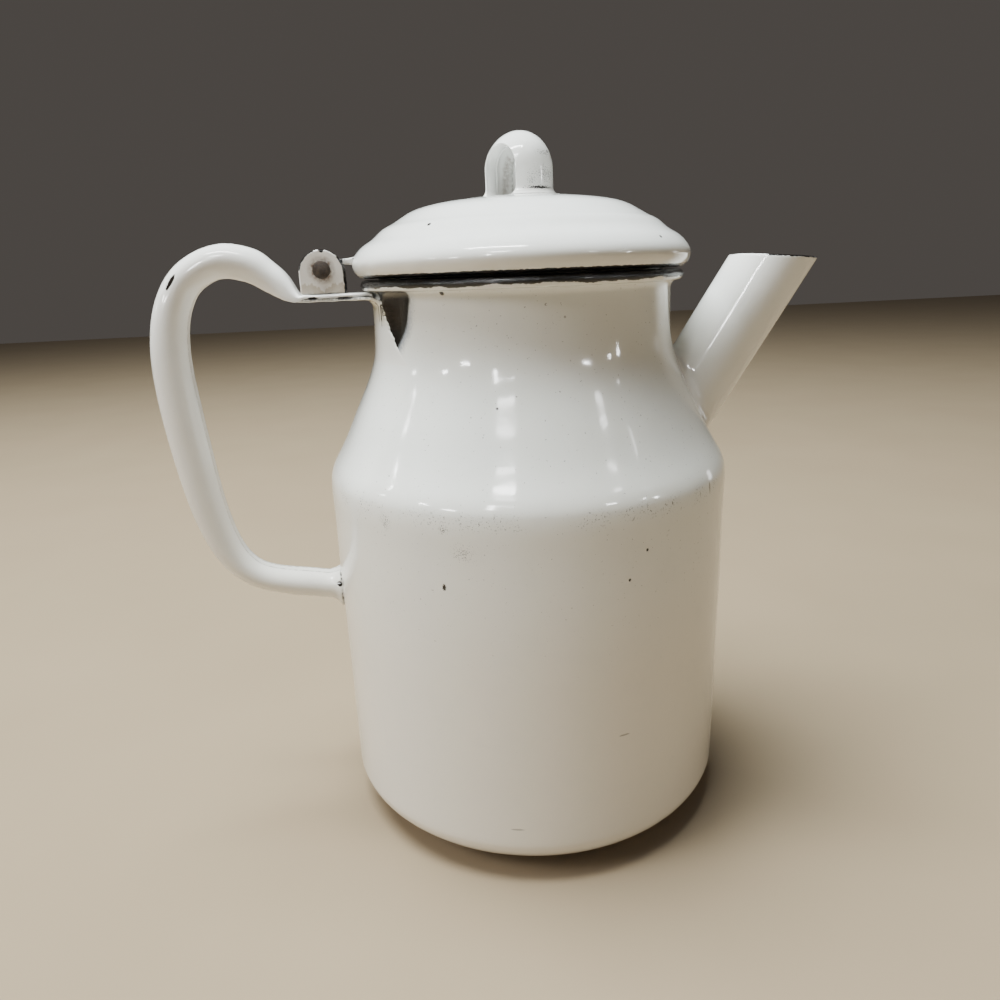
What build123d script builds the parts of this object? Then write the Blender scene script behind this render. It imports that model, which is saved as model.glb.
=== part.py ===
from build123d import *
import math
import os

# Enamelled steel coffee pot with a hinged lid.
# Millimetres, +Z up.  Origin: centre of the flat base, on the surface the pot stands on.
# -X points to the handle and the hinge, +X to the spout.

os.makedirs("parts", exist_ok=True)

# ---------------------------------------------------------------- driving sizes
BODY_R = 70.0            # cup radius at the shoulder
FOOT_R = 38.0            # radius of the flat part of the base
CORNER_H = 15.0          # height of the rounded base corner
WALL = 1.2               # steel sheet with enamel on both faces
SEAM_Z = 125.0           # butt seam between the cup and the shoulder pressing
NECK_R = 50.15           # outside radius of the neck
BEAD_C = (52.25, 188.40)  # centre of the rolled rim's section (r, z)
BEAD_R = 1.75            # radius of the rolled rim's section

SHOULDER = [             # outside of the shoulder and neck (r, z)
    (69.78, 125.0), (68.75, 128.5), (66.25, 133.0), (63.55, 137.8), (59.05, 147.1),
    (54.55, 156.4), (51.80, 163.8), (50.50, 171.3), (50.18, 178.0), (NECK_R, 184.55)]

SPOUT_SLOPE = 58.4       # spout axis, degrees above the horizontal
SPOUT_AT = (86.507, 193.0)  # point on the spout axis in the mouth plane (x, z)
SPOUT_MOUTH_TILT = 4.3   # the mouth's plane drops this many degrees towards the tip
SPOUT_R_MOUTH = 12.92
SPOUT_R_FOOT = 13.02     # radius 34.5 mm down the axis from the mouth
SPOUT_WALL = 1.1
SPOUT_LIP_ROUND = 3.2    # rounded back corner of the mouth
SPOUT_TURN = -8.0        # the spout is set this many degrees round from straight ahead
SPOUT_FLANGE = 2.6       # width of the saddle flange round the spout's foot
STRAINER_HOLE_R = 1.5
STRAINER_PITCH = 4.2

# Handle stations, from the tongue at the rim to the foot on the cup:
# distance from the pot's axis, height, direction of travel in degrees (0 = away from the pot, -90 = down),
# thickness in the handle's plane, width across, flat share of the inner side, squareness
HANDLE = [
    (73.50, 185.25, 0.0, 2.50, 17.0, 0.10, 5.0),
    (75.30, 186.35, 20.0, 4.05, 16.6, 0.15, 3.6),
    (77.20, 188.20, 21.0, 6.65, 15.7, 0.40, 2.8),
    (79.60, 190.35, 22.5, 8.35, 14.6, 0.62, 2.4),
    (82.70, 192.60, 23.0, 9.45, 13.5, 0.80, 2.1),
    (86.50, 195.30, 21.0, 10.50, 12.7, 0.90, 2.0),
    (90.85, 196.92, 14.0, 10.80, 12.3, 0.94, 2.0),
    (95.20, 197.68, 3.0, 10.77, 12.2, 0.95, 2.0),
    (99.75, 197.20, -14.0, 10.46, 12.2, 0.95, 2.0),
    (104.40, 195.27, -29.0, 10.44, 12.2, 0.95, 2.0),
    (108.80, 192.02, -42.0, 10.54, 12.2, 0.95, 2.0),
    (112.22, 187.28, -58.0, 10.84, 12.3, 0.95, 2.0),
    (114.66, 181.59, -71.0, 11.19, 12.5, 0.95, 2.0),
    (116.09, 175.43, -80.0, 11.59, 12.8, 0.95, 2.0),
    (116.83, 168.53, -86.5, 12.04, 13.2, 0.95, 2.0),
    (116.86, 160.00, -90.5, 12.38, 13.5, 0.95, 2.0),
    (116.30, 150.50, -93.5, 12.64, 13.6, 0.95, 2.0),
    (115.35, 140.01, -96.5, 12.57, 13.5, 0.95, 2.0),
    (114.24, 130.01, -99.0, 12.21, 13.3, 0.95, 2.0),
    (112.83, 119.89, -101.5, 11.72, 12.9, 0.95, 2.0),
    (111.10, 111.40, -105.0, 11.19, 12.5, 0.95, 2.0),
    (108.64, 103.41, -112.5, 10.60, 12.2, 0.95, 2.0),
    (104.98, 96.40, -126.0, 9.82, 12.1, 0.95, 2.0),
    (99.49, 91.11, -141.0, 9.20, 12.1, 0.95, 2.0),
    (92.43, 88.08, -156.0, 9.40, 12.2, 0.95, 2.0),
    (85.31, 86.30, -167.0, 9.82, 12.2, 0.95, 2.0),
    (78.77, 85.10, -177.0, 9.95, 12.1, 0.95, 2.0),
    (74.20, 84.20, -180.0, 10.06, 12.2, 0.95, 2.0),
    (71.90, 83.70, -180.0, 11.50, 12.9, 0.92, 2.0),
    (70.40, 82.95, -180.0, 14.00, 14.4, 0.88, 2.0),
    (68.00, 82.60, -180.0, 15.50, 15.4, 0.85, 2.0),
]
HANDLE_WALL = 1.0
STRIP_T = 1.2            # closing strip along the hand side
STRIP_W = 3.0
TONGUE_W = 17.0
TONGUE_LOW_T = 1.2       # lower layer of the tongue, part of the neck bracket
SADDLE_T = 0.55          # thin saddle that the neck bracket spreads into on the neck
SADDLE_GAP = 0.03        # hairline between the saddle and the neck
SADDLE = [(14.2, 185.2), (17.5, 179.6), (21.8, 173.6), (25.4, 169.3), (29.0, 166.2), (32.5, 164.6)]  # half width, z
SADDLE_LOW_Z = 163.4

PIN_X, PIN_Z = -65.70, 193.85   # hinge axis, along Y
PIN_R = 1.55
PIN_HEAD_R, PIN_HEAD_H = 2.95, 1.35
EAR_GAP = 10.6           # between the ears
EAR_T = 1.35
EAR_R = 7.15             # half width and top radius of an ear
EAR_TOP_C = 192.90       # height of the centre of the rounded top
BRACKET_Z = 186.5
LEAF_W = 10.0
LEAF_T = 1.5
KNUCKLE_BORE_R = 1.60    # 0.05 mm running clearance on the rivet

LID_T = 1.0
LID = [                  # outside of the lid from the top of the dome to the turned-under lip (r, z)
    (0.0, 214.90), (8.0, 214.72), (14.5, 214.28), (20.0, 213.70), (26.0, 212.95), (31.0, 212.20),
    (34.2, 211.40), (36.8, 210.40), (39.0, 209.15), (41.0, 207.95), (43.0, 206.85), (45.0, 205.90),
    (46.8, 204.60), (48.4, 203.20), (50.2, 201.95), (52.3, 200.65), (54.2, 198.95), (55.6, 197.10),
    (56.25, 195.20), (55.95, 193.40), (54.90, 191.80), (53.40, 190.80), (51.9, 190.45)]
LID_LIP_R = 49.4
COLLAR_R = 48.0
COLLAR_T = 0.8
COLLAR_LOW_Z = 181.5

LOOP_TURN = -58.4        # direction of the loop's near foot, degrees from +X
LOOP_AT = (0.3, -0.8)    # the loop stands a little off the lid's centre
LOOP_TOP_Z = 234.5
LOOP_OUT_R = 11.75
LOOP_EDGE_R = 7.5        # outer radius at the strap's two edges
LOOP_RIM_R = 6.6         # inner radius of the two rims beside the channel
LOOP_CHANNEL_R = 8.9     # inner radius in the middle of the channel
LOOP_RIM_W = 4.8
LOOP_W = 16.5
LOOP_BOW = 2.05          # exponent of the outer side's bow


SEAM_T = Vector(-0.13, 0, 0.9915)   # direction of the wall at the seam


# ---------------------------------------------------------------- helpers
def P(r, z):
    return Vector(r, 0, z)


def shifted(edge, d, n=40):
    """Points beside an edge in the XZ plane, d to the right of its direction of travel."""
    out = []
    for i in range(n + 1):
        p, t = edge @ (i / n), edge % (i / n)
        out.append(Vector(p.X + d * t.Z, 0, p.Z - d * t.X))
    return out


def spun(edges):
    return revolve(make_face(edges), axis=Axis.Z, revolution_arc=360)


def one(shape):
    """The single solid of a shape."""
    s = sorted(shape.solids(), key=lambda q: -q.volume)
    return s[0]


def write(shape, name):
    shape = one(shape)
    shape.label = name
    export_step(shape, "parts/" + name + ".step")


# ---------------------------------------------------------------- body: profiles
def corner_line(inset):
    """The rounded base corner, a quarter of an ellipse, inset from the outside."""
    a, b = BODY_R - 0.35 - FOOT_R - inset, CORNER_H - inset
    return Spline([P(FOOT_R + a * math.sin(t), CORNER_H - b * math.cos(t))
                   for t in [math.radians(k) for k in range(0, 91, 10)]],
                  tangents=[Vector(1, 0, 0), Vector(0, 0, 1)])


def cup_outer():
    corner = corner_line(0.0)
    wall = Spline([P(BODY_R - 0.35, CORNER_H), P(BODY_R - 0.15, 60.0), P(BODY_R - 0.04, 100.0),
                   P(BODY_R - 0.03, 117.0), P(SHOULDER[0][0], SEAM_Z)],
                  tangents=[Vector(0, 0, 1), SEAM_T])
    return corner, wall


corner, wall = cup_outer()
floor_line = Line(P(0, 0), P(FOOT_R, 0))
c_in = corner_line(WALL)
w_in = Spline(list(reversed(shifted(wall, -WALL, 12))), tangents=[-(wall % 1), Vector(0, 0, -1)])
cup_edges = [floor_line, corner, wall, Line(wall @ 1, w_in @ 0), w_in, c_in,
             Line(c_in @ 0, P(0, WALL)), Line(P(0, WALL), P(0, 0))]
body_cup = spun(cup_edges)

# shoulder, neck and rolled rim
bx, bz = BEAD_C
sh_out = Spline([P(r, z) for r, z in SHOULDER], tangents=[SEAM_T, Vector(0, 0, 1)])
f_r = bx - NECK_R
f_z = bz - BEAD_R - f_r
flare = ThreePointArc(P(NECK_R, f_z), P(bx - f_r * math.sqrt(0.5), f_z + f_r * math.sqrt(0.5)), P(bx, bz - BEAD_R))
bead_a = ThreePointArc(P(bx, bz - BEAD_R), P(bx + BEAD_R, bz), P(bx, bz + BEAD_R))
bead_b = ThreePointArc(P(bx, bz + BEAD_R), P(bx - BEAD_R * math.sqrt(0.5), bz + BEAD_R * math.sqrt(0.5)),
                       P(bx - BEAD_R, bz))
sh_in_pts = list(reversed(shifted(sh_out, -WALL, 24)))
throat = Spline([P(bx - BEAD_R, bz), P(bx - BEAD_R - 0.35, bz - 1.6), sh_in_pts[0]],
                tangents=[Vector(0, 0, -1), Vector(0, 0, -1)])
sh_in = Spline(sh_in_pts, tangents=[Vector(0, 0, -1), -SEAM_T])
shoulder_edges = [sh_out, flare, bead_a, bead_b, throat, sh_in, Line(sh_in @ 1, sh_out @ 0)]
body_shoulder = spun(shoulder_edges)

# the whole outside of the body as one filled solid, for cutting what is welded to it
body_full = spun([floor_line, corner, wall, sh_out, flare, bead_a,
                  Line(P(bx, bz + BEAD_R), P(0, bz + BEAD_R)), Line(P(0, bz + BEAD_R), P(0, 0))])


def body_jacket(t):
    """The shoulder and neck surface moved out by t, filled."""
    e = Spline(shifted(sh_out, t, 24), tangents=[SEAM_T, Vector(0, 0, 1)])
    return spun([e, Line(e @ 1, P(0, (e @ 1).Z)), Line(P(0, (e @ 1).Z), P(0, (e @ 0).Z)),
                 Line(P(0, (e @ 0).Z), e @ 0)])


# ---------------------------------------------------------------- spout
ax = Vector(math.cos(math.radians(SPOUT_SLOPE)), 0, math.sin(math.radians(SPOUT_SLOPE)))
mouth = P(*SPOUT_AT)
taper = (SPOUT_R_FOOT - SPOUT_R_MOUTH) / 34.5


def spout_cone(extra, low=70.0, high=20.0, grow=0.0):
    base = mouth - ax * low
    pl = Plane(origin=base, x_dir=(0, 1, 0), z_dir=ax)
    r0 = SPOUT_R_MOUTH + taper * low + extra
    r1 = SPOUT_R_MOUTH - taper * high + extra
    return Solid.make_cone(r0, r1, low + high, pl)


lip_x = SPOUT_AT[0] - (SPOUT_R_MOUTH / math.sin(math.radians(SPOUT_SLOPE)))
q = SPOUT_LIP_ROUND
drop = math.tan(math.radians(SPOUT_MOUTH_TILT))


def mouth_z(x):
    return SPOUT_AT[1] - drop * (x - SPOUT_AT[0])


x1, x2, x3 = lip_x + q * 1.15, lip_x + q * 0.25, lip_x - q * 0.55
z3 = mouth_z(lip_x) - q
keep = [Line(P(0, 60), P(130, 60)), Line(P(130, 60), P(130, mouth_z(130))),
        Line(P(130, mouth_z(130)), P(x1, mouth_z(x1))),
        Spline([P(x1, mouth_z(x1)), P(x2, mouth_z(x2) - q * 0.22), P(x3, z3)],
               tangents=[Vector(-1, 0, drop), Vector(-0.5, 0, -0.87)]),
        Line(P(x3, z3), P(x3 - 60, z3)), Line(P(x3 - 60, z3), P(0, 60))]
below_mouth = extrude(make_face(keep), amount=30, both=True)
front = Pos(100, 0, 120) * Box(160, 80, 200)
tube = (spout_cone(0.0) & below_mouth & front)
flange = (body_jacket(1.1) & spout_cone(SPOUT_FLANGE, 45.0, 0.0) & front)
spout = (tube + flange) - spout_cone(-SPOUT_WALL) - body_full
spout = Rot(0, 0, SPOUT_TURN) * spout

# strainer holes pierced in the shoulder behind the spout
holes = []
side = Vector(0, 1, 0)
up = ax.cross(side)
foot_c = mouth - ax * 52.0
for i in range(-2, 3):
    for j in range(-2, 3):
        if abs(i + j) > 2:
            continue
        c = foot_c + side * (STRAINER_PITCH * (i + j / 2)) + up * (STRAINER_PITCH * j * math.sqrt(3) / 2)
        holes.append(Solid.make_cylinder(STRAINER_HOLE_R, 22.0, Plane(origin=c, x_dir=(0, 1, 0), z_dir=ax)))
for h in holes:
    body_shoulder = body_shoulder - (Rot(0, 0, SPOUT_TURN) * h)


# ---------------------------------------------------------------- handle
def station_plane(st):
    s, z, deg = st[0], st[1], st[2]
    c, n = math.cos(math.radians(deg)), math.sin(math.radians(deg))
    return Plane(origin=(-s, 0, z), x_dir=(0, -1, 0), z_dir=(-c, 0, n))


def bow(t, w, k, p, side_in, top_in, low_in):
    """D-shaped outline: a bow over a flat inner side, in the station's own plane."""
    b = t / (1.0 + k)
    n0 = -t / 2 + k * b
    a = w / 2 - side_in
    bt = b - top_in
    low = -t / 2 + low_in
    kk = (n0 - low) / bt
    half = a * (1 - kk ** p) ** (1 / p) if kk > 0 else a
    start = math.atan2(-kk * bt / bt, half / a) if kk > 0 else 0.0
    pts = []
    n = 14
    for i in range(n + 1):
        th = start + (math.pi - 2 * start) * i / n
        cx, sy = math.cos(th), math.sin(th)
        pts.append((a * math.copysign(abs(cx) ** (2 / p), cx), n0 + bt * math.copysign(abs(sy) ** (2 / p), sy)))
    pts[0] = (half, low)
    pts[-1] = (-half, low)
    return pts


def station_face(st, side_in=0.0, top_in=0.0, low_in=0.0):
    pl = station_plane(st)
    pts = bow(st[3], st[4], st[5], st[6], side_in, top_in, low_in)
    w = [pl.from_local_coords(Vector(x, y, 0)) for x, y in pts]
    return make_face([Spline(w), Line(w[-1], w[0])])


def rim_of(sketch):
    return sketch.faces()[0].outer_wire()


handle_all = Solid.make_loft([rim_of(station_face(st)) for st in HANDLE])
hollow = Solid.make_loft([rim_of(station_face(st, HANDLE_WALL, HANDLE_WALL, HANDLE_WALL)) for st in HANDLE[2:-3]])

inner_face, far_side = [], []
for st in HANDLE:
    pl = station_plane(st)
    a = pl.from_local_coords(Vector(0, -st[3] / 2 + STRIP_T, 0))
    b = pl.from_local_coords(Vector(0, -st[3] / 2 - 3.0, 0))
    inner_face.append(Vector(a.X, 0, a.Z))
    far_side.append(Vector(b.X, 0, b.Z))
band_face = make_face([Spline(inner_face), Line(inner_face[-1], far_side[-1]),
                       Polyline(*reversed(far_side)), Line(far_side[0], inner_face[0])])
band = extrude(band_face, amount=STRIP_W / 2, both=True)

t_mid = BRACKET_Z - (HANDLE[0][3] - TONGUE_LOW_T)
t_out = -HANDLE[0][0]
tongue_top = Pos((t_out - 50.0) / 2, 0, (BRACKET_Z + t_mid) / 2) * Box(-50.0 - t_out, TONGUE_W, BRACKET_Z - t_mid)
tongue_low = Pos((t_out - 49.0) / 2, 0, t_mid - TONGUE_LOW_T / 2) * Box(-49.0 - t_out, TONGUE_W, TONGUE_LOW_T)

handle_shell = (handle_all - hollow - band) + tongue_top - body_full
handle_strip = (handle_all & band) - body_full

# neck bracket: the tongue's lower layer, spreading into a thin saddle on the neck
edge_r = [(-40, y, z) for y, z in SADDLE]
edge_l = [(-40, -y, z) for y, z in reversed(SADDLE)]
low_r = (-40, SADDLE[-1][0] - 1.5, SADDLE_LOW_Z)
low_l = (-40, -SADDLE[-1][0] + 1.5, SADDLE_LOW_Z)
saddle_prism = extrude(make_face(Polyline(*edge_r, low_r, low_l, *edge_l, edge_r[0])), amount=25, dir=(-1, 0, 0))
saddle_line = [p for p in shifted(sh_out, SADDLE_T, 24) if 158 < p.Z < 184]
saddle_side = Spline([*saddle_line[::2], P(NECK_R + SADDLE_T, t_mid)])
saddle_ring = revolve(make_face([
    saddle_side, Line(saddle_side @ 1, P(44, t_mid)), Line(P(44, t_mid), P(44, (saddle_side @ 0).Z)),
    Line(P(44, (saddle_side @ 0).Z), saddle_side @ 0)]), axis=Axis.Z, revolution_arc=90)
saddle_ring = Rot(0, 0, 135) * saddle_ring
# it lies on the neck with a hairline under it, which the fired coat fills
neck_collar = Pos(0, 0, f_z + 1.0) * Cylinder(NECK_R + 0.15, 2.5)
neck_bracket = (tongue_low + (saddle_ring & saddle_prism)) - body_jacket(SADDLE_GAP) - neck_collar - tongue_top

# ---------------------------------------------------------------- hinge
ear_face = make_face([
    Line(P(PIN_X - EAR_R, BRACKET_Z), P(PIN_X + EAR_R, BRACKET_Z)),
    Line(P(PIN_X + EAR_R, BRACKET_Z), P(PIN_X + EAR_R, EAR_TOP_C)),
    ThreePointArc(P(PIN_X + EAR_R, EAR_TOP_C), P(PIN_X, EAR_TOP_C + EAR_R), P(PIN_X - EAR_R, EAR_TOP_C)),
    Line(P(PIN_X - EAR_R, EAR_TOP_C), P(PIN_X - EAR_R, BRACKET_Z))])
half = EAR_GAP / 2 + EAR_T
block = extrude(ear_face, amount=half, both=True)
gap = Pos(PIN_X, 0, BRACKET_Z + 1.0 + 20) * Box(40, EAR_GAP, 40)
bracket = block - gap
bracket = bracket - (Pos(PIN_X, 0, PIN_Z) * Rot(90, 0, 0) * Cylinder(PIN_R, 40))
bracket = fillet([e for e in bracket.edges().filter_by(Axis.X)
                  if abs(abs(e.center().Y) - half) < 0.01 and abs(e.center().Z - BRACKET_Z) < 0.01], 0.5)

h0, h1, h2 = half, half + 0.35, half + PIN_HEAD_H
dome_r = (PIN_HEAD_R ** 2 + (h2 - h1) ** 2) / (2 * (h2 - h1))
dome_a = math.asin(PIN_HEAD_R / dome_r) / 2
dome_mid = (dome_r * math.sin(dome_a), h2 - dome_r + dome_r * math.cos(dome_a))
rivet = Pos(PIN_X, 0, PIN_Z) * (Rot(90, 0, 0) * spun([
    Line(P(0, -h2), P(0, h2)), ThreePointArc(P(0, h2), P(*dome_mid), P(PIN_HEAD_R, h1)),
    Line(P(PIN_HEAD_R, h1), P(PIN_HEAD_R, h0)), Line(P(PIN_HEAD_R, h0), P(PIN_R, h0)),
    Line(P(PIN_R, h0), P(PIN_R, -h0)), Line(P(PIN_R, -h0), P(PIN_HEAD_R, -h0)),
    Line(P(PIN_HEAD_R, -h0), P(PIN_HEAD_R, -h1)),
    ThreePointArc(P(PIN_HEAD_R, -h1), P(dome_mid[0], -dome_mid[1]), P(0, -h2))]))

# ---------------------------------------------------------------- lid
lid_out = Spline([P(r, z) for r, z in LID], tangents=[Vector(1, 0, 0), Vector(-1, 0, 0)])
lid_in_pts = list(reversed(shifted(lid_out, LID_T, 60)))
lid_in_pts[-1] = P(0, LID[0][1] - LID_T)
lid_in = Spline(lid_in_pts, tangents=[Vector(1, 0, 0), Vector(-1, 0, 0)])
lip0, lip1 = P(LID_LIP_R, LID[-1][1]), P(LID_LIP_R, LID[-1][1] + LID_T)
lid_dome = spun([lid_out, Line(lid_out @ 1, lip0), Line(lip0, lip1), Line(lip1, lid_in @ 0), lid_in,
                 Line(lid_in @ 1, lid_out @ 0)])
lid_full = spun([lid_out, Line(lid_out @ 1, P(0, LID[-1][1])), Line(P(0, LID[-1][1]), lid_out @ 0)])

leaf_top = PIN_Z + KNUCKLE_BORE_R + LEAF_T
strap = Pos((PIN_X - 54.4) / 2, 0, leaf_top - LEAF_T / 2) * Box(PIN_X * -1 - 54.4, LEAF_W, LEAF_T)
strap = fillet(strap.edges().filter_by(Axis.X), 0.45)
lid_dome = lid_dome - (Pos((PIN_X - 54.4) / 2, 0, leaf_top - LEAF_T / 2) * Box(PIN_X * -1 - 54.4, LEAF_W, LEAF_T))
knuckle = Pos(PIN_X, 0, PIN_Z) * Rot(90, 0, 0) * (Cylinder(KNUCKLE_BORE_R + LEAF_T, LEAF_W))
leaf = (knuckle + strap) - (Pos(PIN_X, 0, PIN_Z) * Rot(90, 0, 0) * Cylinder(KNUCKLE_BORE_R, 40))

cz = LID[-1][1] + LID_T
collar = spun([Line(P(COLLAR_R, COLLAR_LOW_Z), P(COLLAR_R, cz - 0.9)),
               ThreePointArc(P(COLLAR_R, cz - 0.9), P(COLLAR_R + 0.264, cz - 0.264), P(COLLAR_R + 0.9, cz)),
               Line(P(COLLAR_R + 0.9, cz), P(51.2, cz)), Line(P(51.2, cz), P(51.2, cz + COLLAR_T)),
               Line(P(51.2, cz + COLLAR_T), P(COLLAR_R + 0.9, cz + COLLAR_T)),
               ThreePointArc(P(COLLAR_R + 0.9, cz + COLLAR_T),
                             P(COLLAR_R + 0.9 - 1.7 * 0.7071, cz - 0.9 + 1.7 * 0.7071),
                             P(COLLAR_R - COLLAR_T, cz - 0.9)),
               Line(P(COLLAR_R - COLLAR_T, cz - 0.9), P(COLLAR_R - COLLAR_T, COLLAR_LOW_Z)),
               Line(P(COLLAR_R - COLLAR_T, COLLAR_LOW_Z), P(COLLAR_R, COLLAR_LOW_Z))])

# loop knob: a bowed strap with a channel on its inner side, bent to an upside-down U
LOOP_C = LOOP_TOP_Z - LOOP_OUT_R


def strap_face(grow=0.0):
    a, c, w = LOOP_RIM_R - grow * 0.6, LOOP_CHANNEL_R - grow * 0.4, LOOP_W / 2 + grow
    g = LOOP_W / 2 - LOOP_RIM_W
    bow_pts = []
    for i in range(9):
        y = w * (1 - i / 4)
        bow_pts.append((LOOP_OUT_R + grow - (LOOP_OUT_R - LOOP_EDGE_R) * abs(y / w) ** LOOP_BOW, y, 0))
    return make_face([ThreePointArc((a, -g, 0), (c, 0, 0), (a, g, 0)), Line((a, g, 0), (a, w - 0.4, 0)),
                      Line((a, w - 0.4, 0), bow_pts[0]), Spline(bow_pts),
                      Line(bow_pts[-1], (a, -w + 0.4, 0)), Line((a, -w + 0.4, 0), (a, -g, 0))])


arch = revolve(strap_face(), axis=Axis.Y, revolution_arc=-180)
if arch.bounding_box().max.Z < 1:
    arch = revolve(strap_face(), axis=Axis.Y, revolution_arc=180)
leg = extrude(strap_face(), amount=-(LOOP_C - 216.9))
foot = Pos(0, 0, -LOOP_C + 216.9) * Solid.make_loft([
    rim_of(strap_face()), rim_of(Pos(0, 0, -1.3) * strap_face(0.45)),
    rim_of(Pos(0, 0, -2.3) * strap_face(1.5)), rim_of(Pos(0, 0, -3.2) * strap_face(2.2))])
loop = Part() + [arch, leg, foot, mirror(leg, about=Plane.YZ), mirror(foot, about=Plane.YZ)]
lid_loop = (Pos(LOOP_AT[0], LOOP_AT[1], LOOP_C) * (Rot(0, 0, LOOP_TURN) * loop)) - lid_full

# ---------------------------------------------------------------- files
for shape, name in [
        (body_cup, "body_cup"), (body_shoulder, "body_shoulder"), (spout, "spout"),
        (handle_shell, "handle_shell"), (handle_strip, "handle_strip"), (neck_bracket, "neck_bracket"),
        (bracket, "hinge_bracket"), (rivet, "hinge_rivet"),
        (lid_dome, "lid_dome"), (collar, "lid_collar"), (leaf, "lid_hinge_leaf"), (lid_loop, "lid_loop")]:
    write(shape, name)
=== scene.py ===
import math

import bpy
import bmesh
import numpy as np
from mathutils import Matrix, Vector


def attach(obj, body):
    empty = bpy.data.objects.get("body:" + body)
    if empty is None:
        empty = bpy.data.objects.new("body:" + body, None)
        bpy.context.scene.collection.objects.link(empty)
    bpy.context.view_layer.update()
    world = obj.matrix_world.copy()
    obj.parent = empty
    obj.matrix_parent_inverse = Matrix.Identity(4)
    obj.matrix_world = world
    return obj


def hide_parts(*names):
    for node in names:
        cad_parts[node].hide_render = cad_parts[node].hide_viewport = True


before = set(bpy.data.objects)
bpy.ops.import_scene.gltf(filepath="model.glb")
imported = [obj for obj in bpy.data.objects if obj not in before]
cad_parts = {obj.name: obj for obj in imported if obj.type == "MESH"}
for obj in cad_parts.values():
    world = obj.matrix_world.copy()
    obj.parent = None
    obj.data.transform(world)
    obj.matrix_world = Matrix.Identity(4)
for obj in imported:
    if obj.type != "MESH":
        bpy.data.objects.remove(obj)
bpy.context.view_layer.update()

# ---------------------------------------------------------------- camera
# The picture's viewpoint, in millimetres and degrees, and the turn from the pot's own axes to the picture.
CAM_D, CAM_H, CAM_F = 267.33, 190.85, 751.0
PITCH, YAW, ROLL, TURN = 16.824, -2.151, -2.277, 11.0


def camera():
    ph, ps, ro, al = (math.radians(a) for a in (PITCH, YAW, ROLL, TURN))
    fw = Vector((math.sin(ps) * math.cos(ph), math.cos(ps) * math.cos(ph), -math.sin(ph)))
    rt = Vector((math.cos(ps), -math.sin(ps), 0.0))
    up = rt.cross(fw)
    rt2 = math.cos(ro) * rt + math.sin(ro) * up
    up2 = -math.sin(ro) * rt + math.cos(ro) * up
    turn = Matrix.Rotation(-al, 3, "Z")
    fw, rt2, up2 = turn @ fw, turn @ rt2, turn @ up2
    at = turn @ Vector((0.0, -CAM_D, CAM_H)) * 0.001
    data = bpy.data.cameras.new("camera")
    data.sensor_width = 36.0
    data.sensor_fit = "HORIZONTAL"
    data.lens = 36.0 * CAM_F / 1000.0
    data.clip_start, data.clip_end = 0.01, 20.0
    obj = bpy.data.objects.new("camera", data)
    bpy.context.scene.collection.objects.link(obj)
    m = Matrix((rt2, up2, -fw)).transposed().to_4x4()
    m.translation = at
    obj.matrix_world = m
    bpy.context.scene.camera = obj


camera()


# ---------------------------------------------------------------- curves and meshes, in millimetres
def curve(pts, t0=None, t1=None):
    """A smooth curve through points, as a function of a share from 0 to 1 of its chord length."""
    p = np.asarray(pts, float)
    d = np.r_[0, np.cumsum(np.linalg.norm(np.diff(p, axis=0), axis=1))]
    n, h = len(p), np.diff(d)
    A, B = np.zeros((n, n)), np.zeros(p.shape)
    sl = np.diff(p, axis=0) / h[:, None]
    for i in range(1, n - 1):
        A[i, i - 1], A[i, i], A[i, i + 1] = h[i], 2 * (h[i - 1] + h[i]), h[i - 1]
        B[i] = 3 * (h[i] * sl[i - 1] + h[i - 1] * sl[i])
    if t0 is None:
        A[0, 0], A[0, 1], B[0] = 2, 1, 3 * sl[0]
    else:
        A[0, 0], B[0] = 1, np.asarray(t0, float) / np.linalg.norm(t0)
    if t1 is None:
        A[-1, -1], A[-1, -2], B[-1] = 2, 1, 3 * sl[-1]
    else:
        A[-1, -1], B[-1] = 1, np.asarray(t1, float) / np.linalg.norm(t1)
    m = np.linalg.solve(A, B)

    def f(share):
        x = np.atleast_1d(np.asarray(share, float)) * d[-1]
        i = np.clip(np.searchsorted(d, x, side="right") - 1, 0, n - 2)
        t = ((x - d[i]) / h[i])[:, None]
        hh = h[i][:, None]
        return ((2 * t ** 3 - 3 * t ** 2 + 1) * p[i] + (t ** 3 - 2 * t ** 2 + t) * hh * m[i]
                + (-2 * t ** 3 + 3 * t ** 2) * p[i + 1] + (t ** 3 - t ** 2) * hh * m[i + 1])
    return f


def grid(nu, nv, wrap_u=False, wrap_v=False, flip=False, start=0):
    """Faces of a grid whose vertex (i, j) has number start + i * nv + j."""
    i = np.arange(nu if wrap_u else nu - 1)
    j = np.arange(nv if wrap_v else nv - 1)
    i, j = np.meshgrid(i, j, indexing="ij")
    i2, j2 = (i + 1) % nu, (j + 1) % nv
    q = np.stack([i * nv + j, i2 * nv + j, i2 * nv + j2, i * nv + j2], -1).reshape(-1, 4) + start
    return q[:, ::-1] if flip else q


def fan(ring, centre, flip=False):
    a, b = np.asarray(ring), np.roll(ring, -1)
    t = np.stack([np.full(len(a), centre), a, b], -1)
    return t[:, ::-1] if flip else t


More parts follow.
